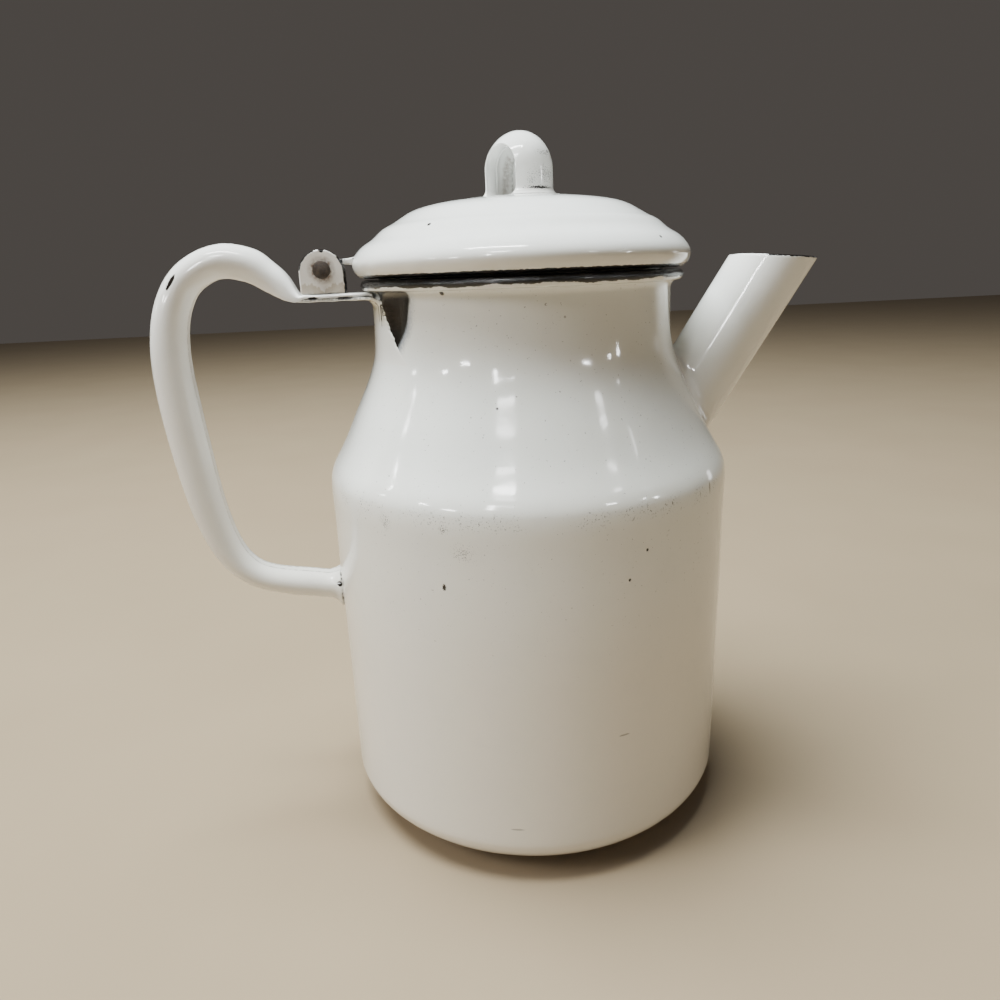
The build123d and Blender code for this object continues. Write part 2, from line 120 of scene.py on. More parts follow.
def make(name, V, faces, body, mat, nodes=(), attrs=None, angle=38.0):
    me = bpy.data.meshes.new(name)
    V = np.asarray(V, np.float32) * 0.001
    faces = [np.asarray(f, np.int32) for f in faces if len(f)]
    loops = np.concatenate([f.ravel() for f in faces])
    sizes = np.concatenate([np.full(len(f), f.shape[1]) for f in faces])
    me.vertices.add(len(V))
    me.vertices.foreach_set("co", V.ravel())
    me.loops.add(len(loops))
    me.loops.foreach_set("vertex_index", loops)
    me.polygons.add(len(sizes))
    me.polygons.foreach_set("loop_start", np.r_[0, np.cumsum(sizes)[:-1]].astype(np.int32))
    me.update(calc_edges=True)
    me.validate()
    for key, val in (attrs or {}).items():
        me.attributes.new(key, "FLOAT", "POINT").data.foreach_set("value", np.asarray(val, np.float32))
    bm = bmesh.new()
    bm.from_mesh(me)
    bmesh.ops.recalc_face_normals(bm, faces=bm.faces)
    lim = math.radians(angle)
    for f in bm.faces:
        f.smooth = True
    for e in bm.edges:
        if len(e.link_faces) == 2 and e.calc_face_angle(0.0) > lim:
            e.smooth = False
    bm.to_mesh(me)
    bm.free()
    obj = bpy.data.objects.new(name, me)
    bpy.context.scene.collection.objects.link(obj)
    me.materials.append(mat)
    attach(obj, body)
    if nodes:
        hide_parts(*nodes)
    return obj


def waves(th, z, amp, seed):
    """Slow hand-made unevenness, from -amp to 0."""
    rng = np.random.default_rng(seed)
    out = 0
    for k in range(7):
        n, kz = rng.integers(1, 7), rng.uniform(-0.09, 0.09)
        out = out + np.sin(n * th + kz * z + rng.uniform(0, 6.28)) / 7.0
    return amp * (np.clip(out * 1.2, -1, 1) - 1) / 2


def poly_sd(px, py, poly):
    """Signed distance to a closed polygon, positive inside."""
    poly = np.asarray(poly, float)
    best = np.full(px.shape, 1e9)
    inside = np.zeros(px.shape, bool)
    for (x0, y0), (x1, y1) in zip(poly, np.roll(poly, -1, axis=0)):
        ex, ey = x1 - x0, y1 - y0
        t = np.clip(((px - x0) * ex + (py - y0) * ey) / (ex * ex + ey * ey + 1e-12), 0, 1)
        best = np.minimum(best, np.hypot(px - x0 - t * ex, py - y0 - t * ey))
        cross = ((y0 <= py) != (y1 <= py)) & (px < (x1 - x0) * (py - y0) / (y1 - y0 + 1e-12) + x0)
        inside ^= cross
    return np.where(inside, best, -best)


# ---------------------------------------------------------------- materials
class Shader:
    def __init__(self, name):
        self.mat = bpy.data.materials.new(name)
        self.mat.use_nodes = True
        self.t = self.mat.node_tree
        self.t.nodes.clear()
        co = self.node("ShaderNodeTexCoord")
        self.pos = self.vec("SCALE", co.outputs["Object"], None, 1000.0)
        sep = self.node("ShaderNodeSeparateXYZ")
        self.t.links.new(self.pos, sep.inputs[0])
        self.x, self.y, self.z = sep.outputs

    def node(self, kind, **kw):
        n = self.t.nodes.new(kind)
        for k, v in kw.items():
            setattr(n, k, v)
        return n

    def put(self, socket, v):
        if v is None:
            return
        if hasattr(v, "is_output"):
            self.t.links.new(v, socket)
        else:
            socket.default_value = v

    def m(self, op, a, b=None, c=None):
        n = self.node("ShaderNodeMath", operation=op)
        for s, v in zip(n.inputs, (a, b, c)):
            self.put(s, v)
        return n.outputs[0]

    def vec(self, op, a, b=None, scale=None):
        n = self.node("ShaderNodeVectorMath", operation=op)
        self.put(n.inputs[0], a)
        self.put(n.inputs[1], b)
        if scale is not None:
            n.inputs["Scale"].default_value = scale
        return n.outputs["Value"] if op in ("LENGTH", "DISTANCE", "DOT_PRODUCT") else n.outputs[0]

    def noise(self, scale, detail=3.0, rough=0.55, seed=0.0, vec=None):
        v = self.vec("ADD", vec or self.pos, (seed * 31.7, seed * 17.3, seed * 5.9))
        n = self.node("ShaderNodeTexNoise")
        self.put(n.inputs["Vector"], v)
        n.inputs["Scale"].default_value = scale
        n.inputs["Detail"].default_value = detail
        n.inputs["Roughness"].default_value = rough
        return n.outputs["Fac"]

    def step(self, x, lo, hi, kind="SMOOTHSTEP"):
        n = self.node("ShaderNodeMapRange", interpolation_type=kind)
        self.put(n.inputs["Value"], x)
        n.inputs["From Min"].default_value = lo
        n.inputs["From Max"].default_value = hi
        return n.outputs["Result"]

    def mix(self, f, a, b):
        n = self.node("ShaderNodeMix", data_type="RGBA")
        self.put(n.inputs[0], f)
        self.put(n.inputs[6], a if hasattr(a, "is_output") else (*a, 1.0))
        self.put(n.inputs[7], b if hasattr(b, "is_output") else (*b, 1.0))
        return n.outputs[2]

    def attr(self, name):
        n = self.node("ShaderNodeAttribute", attribute_name=name)
        return n.outputs["Fac"]

    def sd(self, name, noisy, amp, soft=0.08):
        """A mask from a signed distance stored with ten added, so that a piece without it has none."""
        d = self.m("SUBTRACT", self.attr(name), 10.0)
        d = self.m("ADD", d, self.m("MULTIPLY", self.m("SUBTRACT", noisy, 0.5), amp))
        return self.step(d, -soft, soft)

    def blob(self, at, radii, noisy, turn=0.0, edge=0.25, ragged=1.0, tilt=0.0, less=0.0):
        """An uneven mark at a place, in millimetres."""
        v = self.vec("SUBTRACT", self.pos, tuple(at))
        for deg_, kind in ((turn, "Z_AXIS"), (tilt, "Y_AXIS")):
            if deg_:
                r = self.node("ShaderNodeVectorRotate", rotation_type=kind)
                self.put(r.inputs["Vector"], v)
                r.inputs["Angle"].default_value = math.radians(deg_)
                v = r.outputs[0]
        v = self.vec("DIVIDE", v, tuple(radii))
        d = self.m("SUBTRACT", 1.0 - less, self.vec("LENGTH", v))
        d = self.m("ADD", d, self.m("MULTIPLY", self.m("SUBTRACT", noisy, 0.5), ragged))
        return self.step(d, -edge, edge)

    def over(self, a, b):
        return self.m("MAXIMUM", a, b)


def on_body(theta, z, r):
    a = math.radians(theta)
    return (r * math.cos(a), r * math.sin(a), z)


def enamel(name, painted_sheen_col, painted_bounce_col, z_painted_bounce, z_painted_sheen, rough=0.11, specks=0.60, marks=(), seam=False, coat=0.25,
           tint_col=(0.60, 0.50, 0.30)):
    s = Shader(name)
    big = s.noise(0.018, 2.0, 0.5, 1)
    mid = s.noise(0.11, 4.0, 0.6, 2)
    fine = s.noise(0.9, 4.0, 0.65, 3)
    dust = s.noise(3.2, 2.0, 0.5, 4)
    # painted light: the colour runs from a warm painted bounce light low down to a cool painted sheen high up
    col = s.mix(s.step(s.z, z_painted_bounce, z_painted_sheen, "LINEAR"), painted_bounce_col, painted_sheen_col)
    col = s.mix(s.m("MULTIPLY", s.step(big, 0.35, 0.7), 0.22), col, tuple(c * 0.93 for c in painted_bounce_col))
    col = s.mix(s.m("MULTIPLY", s.step(mid, 0.45, 0.75), 0.10), col, (0.62, 0.62, 0.60))
    # small grey specks and pinholes of the fired coat
    sp = s.m("MULTIPLY", s.step(dust, specks + 0.09, specks + 0.16), s.step(fine, 0.50, 0.62))
    col = s.mix(s.m("MULTIPLY", sp, 0.40), col, (0.30, 0.28, 0.25))
    # grime and painted shade that darken corners, grooves and seams
    grime_shade = s.m("MULTIPLY", s.attr("grime_and_shade"), s.step(fine, 0.30, 0.62))
    col = s.mix(s.m("MINIMUM", grime_shade, 0.94), col, (0.070, 0.055, 0.040))
    # a yellow-brown tint from the tint attribute; on the lid's lower edge it is a painted reflection
    tint = s.m("MULTIPLY", s.attr("tint"), s.m("ADD", 0.55, s.m("MULTIPLY", s.step(mid, 0.30, 0.65), 0.45)))
    col = s.mix(tint, col, tint_col)
    rust = s.m("MULTIPLY", s.attr("rust"), s.step(s.m("ADD", s.m("MULTIPLY", fine, 0.6), s.m("MULTIPLY", mid, 0.4)), 0.33, 0.62))
    rust_col = s.mix(fine, (0.035, 0.016, 0.008), (0.20, 0.095, 0.040))
    col = s.mix(s.m("MINIMUM", rust, 1.0), col, rust_col)
    # black trim and chips through to the dark ground coat
    dark = s.sd("dark", fine, 0.85, 0.07)
    black_col = s.mix(s.step(mid, 0.45, 0.7), (0.0020, 0.0020, 0.0021), (0.007, 0.005, 0.004))
    rough_dark = dark
    marks_f = None
    for mk in marks:
        b = s.blob(mk["at"], mk["r"], dust if mk.get("tiny") else fine, mk.get("turn", 0.0), mk.get("edge", 0.25),
                   mk.get("ragged", 1.0), mk.get("tilt", 0.0), mk.get("less", 0.0))
        if mk.get("share", 1.0) < 1.0:
            b = s.m("MULTIPLY", b, mk["share"])
        marks_f = b if marks_f is None else s.over(marks_f, b)
    if seam:
        # rough specks along the line where the two pressings meet
        band = s.m("MULTIPLY", s.step(s.z, 120.4, 123.0), s.step(s.z, 127.6, 125.0))
        spk = s.m("MULTIPLY", s.step(s.noise(1.7, 3.0, 0.7, 6), 0.575, 0.645), s.step(s.noise(0.12, 2.0, 0.5, 7), 0.40, 0.56))
        spk = s.m("MULTIPLY", band, spk)
        # lone pinholes, thicker below the seam than elsewhere
        pin = s.m("MULTIPLY", s.step(s.noise(1.15, 2.0, 0.6, 8), 0.700, 0.735), s.step(s.z, 60.0, 118.0))
        spk = s.over(s.m("MULTIPLY", spk, 0.72), s.m("MULTIPLY", pin, 0.55))
        marks_f = spk if marks_f is None else s.over(marks_f, spk)
    if marks_f is not None:
        col = s.mix(s.m("MINIMUM", marks_f, 1.0), col, (0.014, 0.011, 0.009))
    col = s.mix(dark, col, black_col)
    # the bare spot beside the bracket: ground coat that fades into the white through fine specks
    bd = s.m("SUBTRACT", s.attr("bare"), 10.0)
    fade = s.step(s.m("ADD", bd, s.m("MULTIPLY", s.m("SUBTRACT", s.noise(2.4, 3.0, 0.7, 9), 0.5), 2.4)), -0.45, 0.75)
    low_b = s.step(s.z, 184.0, 174.0)
    halo = s.step(s.m("ADD", bd, s.m("MULTIPLY", s.m("SUBTRACT", s.noise(1.6, 3.0, 0.7, 10), 0.5), 4.2)), -3.4, 0.5)
    halo = s.m("MULTIPLY", halo, s.m("ADD", 0.42, s.m("MULTIPLY", low_b, 0.50)))
    col = s.mix(halo, col, (0.215, 0.25, 0.305))
    brown = s.m("MULTIPLY", s.step(s.m("ADD", bd, s.m("MULTIPLY", fine, 1.8)), 2.7, 4.0), s.step(s.m("ADD", s.z, s.m("MULTIPLY", mid, 7.0)), 176.5, 183.5))
    brown = s.m("MULTIPLY", brown, s.m("ADD", 0.25, s.m("MULTIPLY", s.step(fine, 0.35, 0.62), 0.75)))
    bare_col = s.mix(s.m("MULTIPLY", brown, 0.8), (0.0014, 0.0014, 0.0013), (0.016, 0.0090, 0.0038))
    col = s.mix(fade, col, bare_col)
    # roughness
    ro = s.m("ADD", s.m("MULTIPLY", s.step(mid, 0.3, 0.8), 0.07), rough)
    ro = s.m("ADD", ro, s.m("MULTIPLY", s.m("MINIMUM", s.m("ADD", grime_shade, rust), 1.0), 0.5))
    ro = s.m("ADD", ro, s.m("MULTIPLY", fade, s.m("MULTIPLY", fine, 0.22)))
    ro = s.m("ADD", ro, s.m("MULTIPLY", rough_dark, s.m("MULTIPLY", fine, 0.22)))
    ro = s.m("ADD", ro, s.m("MULTIPLY", s.attr("matte"), 0.45))
    # relief: slow ripple, orange peel, specks, and chips that lie lower than the coat
    h = s.m("MULTIPLY", s.noise(0.16, 2.0, 0.5, 11), 0.050)
    h = s.m("ADD", h, s.m("MULTIPLY", s.noise(0.85, 2.0, 0.5, 12), 0.0075))
    h = s.m("ADD", h, s.m("MULTIPLY", sp, 0.02))
    h = s.m("SUBTRACT", h, s.m("MULTIPLY", s.m("MINIMUM", rust, 1.0), s.m("MULTIPLY", fine, 0.16)))
    h = s.m("SUBTRACT", h, s.m("MULTIPLY", dark, s.m("MULTIPLY", fine, 0.30)))
    h = s.m("SUBTRACT", h, s.m("MULTIPLY", fade, s.m("ADD", 0.05, s.m("MULTIPLY", fine, 0.10))))
    if marks_f is not None:
        h = s.m("SUBTRACT", h, s.m("MULTIPLY", marks_f, 0.06))
    bump = s.node("ShaderNodeBump")
    bump.inputs["Strength"].default_value = 1.0
    bump.inputs["Distance"].default_value = 0.001
    s.put(bump.inputs["Height"], h)
    bsdf = s.node("ShaderNodeBsdfPrincipled")
    s.put(bsdf.inputs["Base Color"], col)
    s.put(bsdf.inputs["Roughness"], ro)
    s.put(bsdf.inputs["Normal"], bump.outputs[0])
    bsdf.inputs["Coat Weight"].default_value = coat
    bsdf.inputs["Coat Roughness"].default_value = 0.04
    out = s.node("ShaderNodeOutputMaterial")
    s.put(out.inputs["Surface"], bsdf.outputs[0])
    return s.mat


def rusty(name):
    s = Shader(name)
    a, b, c = s.noise(0.5, 4.0, 0.65, 1), s.noise(2.2, 4.0, 0.7, 2), s.noise(6.0, 2.0, 0.6, 3)
    col = s.mix(s.step(b, 0.38, 0.68), (0.007, 0.004, 0.0022), (0.042, 0.021, 0.0085))
    col = s.mix(s.m("MULTIPLY", s.step(a, 0.52, 0.70), 0.8), col, (0.070, 0.042, 0.021))
    col = s.mix(s.m("MULTIPLY", s.step(c, 0.62, 0.74), 0.6), col, (0.20, 0.14, 0.085))
    bump = s.node("ShaderNodeBump")
    bump.inputs["Distance"].default_value = 0.001
    s.put(bump.inputs["Height"], s.m("ADD", s.m("MULTIPLY", b, 0.22), s.m("MULTIPLY", c, 0.07)))
    bsdf = s.node("ShaderNodeBsdfPrincipled")
    s.put(bsdf.inputs["Base Color"], col)
    s.put(bsdf.inputs["Roughness"], s.m("ADD", s.m("MULTIPLY", b, 0.40), 0.16))
    s.put(bsdf.inputs["Metallic"], s.m("MULTIPLY", s.step(a, 0.55, 0.35), 0.45))
    s.put(bsdf.inputs["Normal"], bump.outputs[0])
    out = s.node("ShaderNodeOutputMaterial")
    s.put(out.inputs["Surface"], bsdf.outputs[0])
    return s.mat


def floor_mat():
    s = Shader("floor_plain")
    n = s.noise(0.012, 3.0, 0.5, 1)
    f = s.noise(0.8, 3.0, 0.6, 2)
    col = s.mix(n, (0.255, 0.198, 0.131), (0.285, 0.224, 0.150))
    col = s.mix(s.m("MULTIPLY", f, 0.08), col, (0.215, 0.167, 0.112))
    bsdf = s.node("ShaderNodeBsdfPrincipled")
    s.put(bsdf.inputs["Base Color"], col)
    bsdf.inputs["Roughness"].default_value = 0.62
    out = s.node("ShaderNodeOutputMaterial")
    s.put(out.inputs["Surface"], bsdf.outputs[0])
    return s.mat


def body_r(z):
    return np.interp(z, BODY_Z, BODY_RR)


# ---------------------------------------------------------------- body: cup, shoulder, neck, rolled rim
WALL = 1.2
BEAD = (52.25, 188.40, 1.75)
SHOULDER = [(69.78, 125.0), (68.75, 128.5), (66.25, 133.0), (63.55, 137.8), (59.05, 147.1),
            (54.55, 156.4), (51.80, 163.8), (50.50, 171.3), (50.18, 178.0), (50.15, 184.55)]
seam_t = (-0.13, 0.9915)
wall_f = curve([(69.65, 15.0), (69.85, 60.0), (69.96, 100.0), (69.97, 117.0), (69.78, 125.0)], (0, 1), seam_t)
sh_f = curve(SHOULDER, seam_t, (0, 1))
dense = np.r_[wall_f(np.linspace(0, 1, 200)), sh_f(np.linspace(0, 1, 400))[1:]]
BODY_Z, BODY_RR = dense[:, 1], dense[:, 0]

ang = np.radians(np.linspace(0, 90, 25))
corner = np.c_[38.0 + 31.65 * np.sin(ang), 15.0 - 15.0 * np.cos(ang)]
wall = wall_f(np.linspace(0, 1, 50))[1:]
sh_z = sh_f(np.linspace(0, 1, 1500))
z_rows = np.r_[np.arange(125.8, 166, 0.85), np.arange(166.3, 184.5, 0.32), 184.55]
shoulder = np.c_[np.interp(z_rows, sh_z[:, 1], sh_z[:, 0]), z_rows]
fl = np.radians(np.linspace(180, 90, 9))[1:-1]
flare = np.c_[52.25 + 2.1 * np.cos(fl), 184.55 + 2.1 * np.sin(fl)]
bd = np.radians(np.linspace(-90, 180, 37))
bead = np.c_[BEAD[0] + BEAD[2] * np.cos(bd), BEAD[1] + BEAD[2] * np.sin(bd)]
flat = np.c_[[6.0, 14.0, 22.0, 30.0], [0, 0, 0, 0]]
outer = np.r_[flat, corner, wall, shoulder, flare, bead]
in_z = np.r_[186.2, 184.0, np.arange(181, 126, -2.6), np.arange(124, 17, -5.0)]
inner = np.c_[body_r(in_z) - WALL, in_z]
slope = np.gradient(body_r(in_z), in_z)
inner[:, 0] -= WALL * (np.sqrt(1 + slope ** 2) - 1)
inner[0] = (49.35, 186.2)
in_c = np.radians(np.linspace(90, 0, 14))
inner_c = np.c_[38.0 + 30.45 * np.sin(in_c), 15.0 - 13.8 * np.cos(in_c)]
inner = np.r_[inner, inner_c, np.c_[[30.0, 22.0, 14.0, 6.0], [WALL] * 4]]
profile = np.r_[outer, inner]
n_out = len(outer)

th = np.r_[np.arange(-180, -161, 1.4), np.arange(-160.4, -138, 0.42), np.arange(-137.4, 179.2, 1.4)]
TH = np.radians(th)
R, T = np.meshgrid(profile[:, 0], TH, indexing="ij")
Z = np.repeat(profile[:, 1][:, None], len(TH), 1)
calm = np.clip(Z / 12.0, 0, 1) * np.clip((182.0 - Z) / 14.0, 0, 1)
R = R + waves(T, Z, 0.16, 5) * calm
V = np.stack([R * np.cos(T), R * np.sin(T), Z], -1).reshape(-1, 3)
nr, nc = R.shape
F = [grid(nr, nc, wrap_v=True)]
V = np.r_[V, [[0, 0, 0], [0, 0, WALL]]]
F.append(fan(np.arange(nc), nr * nc))
F.append(fan(np.arange(nc) + (nr - 1) * nc, nr * nc + 1, True))

row = np.arange(nr)[:, None] + np.zeros_like(R)
trim_z = 187.66 + 0.20 * np.sin(7 * T + 1) + 0.17 * np.sin(19 * T) + 0.12 * np.sin(43 * T + 2)
dark = np.clip(np.where(row < n_out, Z - trim_z, Z - 186.9), -9, 9) + 10
spot = [(-156.9, 187.1), (-142.6, 187.0), (-142.1, 184.1), (-142.9, 181.3), (-143.8, 178.3), (-145.2, 175.4),
        (-147.7, 172.4), (-150.7, 169.2), (-158.0, 169.2), (-164.0, 178.0), (-164.0, 187.1)]
deg = np.degrees(T)
k = math.radians(1) * 50.3
bare = poly_sd(deg * k, Z, [(a * k, z) for a, z in spot])
bare = np.clip(np.where((row < n_out) & (Z < 187.0), bare, -9), -9, 9) + 10
zero2 = np.zeros(2)
rng = np.random.default_rng(3)
body_mat = enamel(
    "body_enamel", (0.80, 0.82, 0.80), (0.79, 0.755, 0.685), 70.0, 140.0, 0.080, seam=True,
    marks=[dict(at=on_body(-121.9, 103.5, 69.9), r=(0.60, 0.60, 1.05), turn=0, tiny=True, ragged=1.4),
           dict(at=on_body(-71.2, 111.8, 69.9), r=(0.45, 0.45, 0.50), tiny=True),
           dict(at=on_body(-76.2, 103.6, 69.9), r=(0.42, 0.42, 0.45), tiny=True),
           dict(at=on_body(-86.9, 178.2, 50.2), r=(0.36, 0.36, 0.36), tiny=True, share=0.5),
           dict(at=on_body(-109.0, 153.8, 55.7), r=(0.40, 0.40, 0.38), tiny=True),
           dict(at=on_body(-46.0, 124.6, 69.8), r=(0.40, 0.40, 2.4), tiny=True, share=0.7, ragged=1.2),
           dict(at=on_body(-116.5, 114.5, 69.9), r=(5.0, 3.0, 3.4), share=0.7, ragged=6.0, less=1.15, tiny=True),
           dict(at=on_body(-138.4, 121.0, 70.0), r=(2.4, 2.4, 3.2), share=0.8, ragged=6.0, less=1.05, tiny=True),
           dict(at=on_body(-121.2, 121.4, 70.0), r=(1.6, 1.4, 1.6), share=0.8, ragged=5.0, less=0.80, tiny=True),
           dict(at=on_body(-77.0, 51.6, 69.8), r=(1.9, 1.0, 0.28), share=0.5, ragged=1.0),
           dict(at=on_body(-106.0, 21.3, 69.7), r=(2.3, 1.2, 0.30), share=0.45, ragged=1.0),
           dict(at=on_body(-127.6, 185.9, 50.6), r=(0.75, 0.75, 0.62), tiny=True)])
body = make("body_pressings", V, F, "pot", body_mat, ("body_cup", "body_shoulder"),
            {"dark": np.r_[dark.ravel(), zero2], "bare": np.r_[bare.ravel(), zero2]}, 50.0)

# strainer holes pierced in the shoulder behind the spout
SLOPE, AT, RM, RF, TURN_S, TILT = math.radians(58.4), (86.507, 193.0), 12.92, 13.02, math.radians(-8.0), math.tan(math.radians(4.3))
s_ax = np.array([math.cos(SLOPE), 0, math.sin(SLOPE)])
s_side = np.array([0, 1.0, 0])
s_up = np.cross(s_ax, s_side)
s_mouth = np.array([AT[0], 0, AT[1]])


def turned(v, a=TURN_S):
    v = np.asarray(v, float)
    c, s = math.cos(a), math.sin(a)
    return np.stack([v[..., 0] * c - v[..., 1] * s, v[..., 0] * s + v[..., 1] * c, v[..., 2]], -1)


cv, cf, base = [], [], 0
ring_a = np.radians(np.arange(0, 360, 15))
for i in range(-2, 3):
    for j in range(-2, 3):
        if abs(i + j) > 2:
            continue
        c = s_mouth - s_ax * 52.0 + s_side * (4.2 * (i + j / 2)) + s_up * (4.2 * j * math.sqrt(3) / 2)
        circle = c + 1.5 * (np.cos(ring_a)[:, None] * s_side + np.sin(ring_a)[:, None] * s_up)
        n = len(ring_a)
        cv += [turned(circle - s_ax * 11), turned(circle + s_ax * 11)]
        cf += [[base + k2, base + (k2 + 1) % n, base + n + (k2 + 1) % n, base + n + k2] for k2 in range(n)]
        cf += [list(range(base, base + n))[::-1], list(range(base + n, base + 2 * n))]
        base += 2 * n
cut_me = bpy.data.meshes.new("strainer_cut")
cut_me.from_pydata((np.concatenate(cv) * 0.001).tolist(), [], cf)
cut = bpy.data.objects.new("strainer_cut", cut_me)
bpy.context.scene.collection.objects.link(cut)
mod = body.modifiers.new("holes", "BOOLEAN")
mod.operation, mod.object, mod.solver = "DIFFERENCE", cut, "EXACT"
bpy.context.view_layer.update()
new_me = bpy.data.meshes.new_from_object(body.evaluated_get(bpy.context.evaluated_depsgraph_get()))
body.modifiers.clear()
if len(new_me.polygons) > 1000:
    body.data = new_me
bpy.data.objects.remove(cut)

# ---------------------------------------------------------------- spout
phi = np.radians(np.arange(0, 360, 2.25))
n_phi = len(phi)
dirs = np.cos(phi)[:, None] * s_side + np.sin(phi)[:, None] * s_up


def cone_pt(t, extra=0.0):
    """Point on the spout's cone, t millimetres up the axis from the mouth's centre, for every direction round it."""
    t = np.asarray(t, float)
    return s_mouth + s_ax * t[:, None] + (RM - (RF - RM) / 34.5 * t + extra)[:, None] * dirs


def solve(fn, lo, hi):
    a, b = np.full(n_phi, lo, float), np.full(n_phi, hi, float)
    for _ in range(46):
        c = (a + b) / 2
        g = fn(c) > 0
        b, a = np.where(g, c, b), np.where(g, a, c)
    return (a + b) / 2


def lip_level(p, extra=0.0):
    """The mouth's edge is level across its thickness, so it is found at the outside of the wall."""
    lip_x = AT[0] - RM / math.sin(SLOPE)
    x = p[:, 0] - (extra * dirs[:, 0] if np.ndim(extra) or extra else 0.0)
    plane = AT[1] - TILT * (x - AT[0])
    back = np.clip((lip_x + 2.3 - x) / 2.3, 0, 1.3)
    return plane - 0.55 * back ** 2.0


def lip_gap(t, extra=0.0):
    p = cone_pt(t, extra)
    return p[:, 2] - lip_level(p, extra)


def body_gap(t, extra=0.0, grow=0.0):
    p = cone_pt(t, extra)
    return np.hypot(p[:, 0], p[:, 1]) - body_r(p[:, 2]) - grow


t_lip = solve(lambda t: lip_gap(t), -20, 20)
t_lip_in = solve(lambda t: lip_gap(t, -1.1), -20, 20)
t_foot = solve(lambda t: body_gap(t), -58, -5)
t_foot_in = solve(lambda t: body_gap(t, -1.1, -0.35), -62, -5)
P_foot = cone_pt(t_foot)
below = np.clip(-np.sin(phi), 0, 1)
above = np.clip(np.sin(phi), 0, 1)
# sin(phi) = 1 is the back of the spout, which faces the neck
f_up = 5.2 - 2.6 * below ** 1.5 - 0.6 * above
f_out = 5.4 - 2.4 * below ** 1.5 - 0.8 * above
A_pt = cone_pt(t_foot + f_up)
far = P_foot + dirs * f_out[:, None]
rr = np.hypot(far[:, 0], far[:, 1])
on = body_r(far[:, 2])
B_pt = np.c_[far[:, 0] / rr * on, far[:, 1] / rr * on, far[:, 2]]
rings = []
rings.append(cone_pt(t_foot_in, -1.1))
for q in (0.25, 0.6, 0.9):
    rings.append(cone_pt(t_foot_in + (t_lip_in - 1.0 - t_foot_in) * q, -1.1))
rings.append(cone_pt(t_lip_in - 0.9, -1.1))
# a softly rounded, slightly swollen lip
lip_o, lip_i = cone_pt(t_lip), cone_pt(t_lip_in, -1.1)
mid_l = (lip_o + lip_i) / 2
half_l = (lip_o - lip_i) / 2
down = -s_ax
for a in np.radians([180, 150, 120, 90, 60, 30, 0]):
    rings.append(mid_l + half_l * math.cos(a) + down * 0.55 * (1 - math.sin(a)))
lip_rows = (4, len(rings))
for q in (1.2, 2.0, 3.4):
    rings.append(cone_pt(t_lip - q))
for q in np.linspace(0.12, 0.93, 15):
    rings.append(cone_pt(t_lip - 3.4 + (t_foot + f_up - t_lip + 3.4) * q))
for q in np.linspace(0, 1, 15):
    c = (1 - q) ** 2 * A_pt + 2 * q * (1 - q) * P_foot + q ** 2 * B_pt
    r_now = np.hypot(c[:, 0], c[:, 1])
    least = body_r(c[:, 2]) - 0.22 * max(0.0, (q - 0.86) / 0.14)
    fix = np.maximum(r_now, least) / r_now
    rings.append(np.c_[c[:, 0] * fix, c[:, 1] * fix, c[:, 2]])
last = rings[-1]
r_now = np.hypot(last[:, 0], last[:, 1])
rings.append(np.c_[last[:, 0] * (1 - 0.65 / r_now), last[:, 1] * (1 - 0.65 / r_now), last[:, 2]])
RG = np.stack(rings)
local = RG.copy()
V = turned(RG).reshape(-1, 3)
depth = lip_level(local.reshape(-1, 3)) - local.reshape(-1, 3)[:, 2]
lx = local.reshape(-1, 3)[:, 0]
dark = np.minimum(0.50 - depth, (lx - 80.8) * 0.09)
dark = np.clip(dark, -9, 9) + 10
grime_and_shade = np.zeros(len(V))
rowi = np.repeat(np.arange(len(rings)), n_phi)
spout_mat = enamel("spout_enamel", (0.81, 0.82, 0.805), (0.79, 0.78, 0.745), 140.0, 185.0, 0.075)
make("spout_tube", V, [grid(len(rings), n_phi, wrap_u=True, wrap_v=True)], "pot", spout_mat, ("spout",),
     {"dark": dark, "grime_and_shade": grime_and_shade}, 60.0)

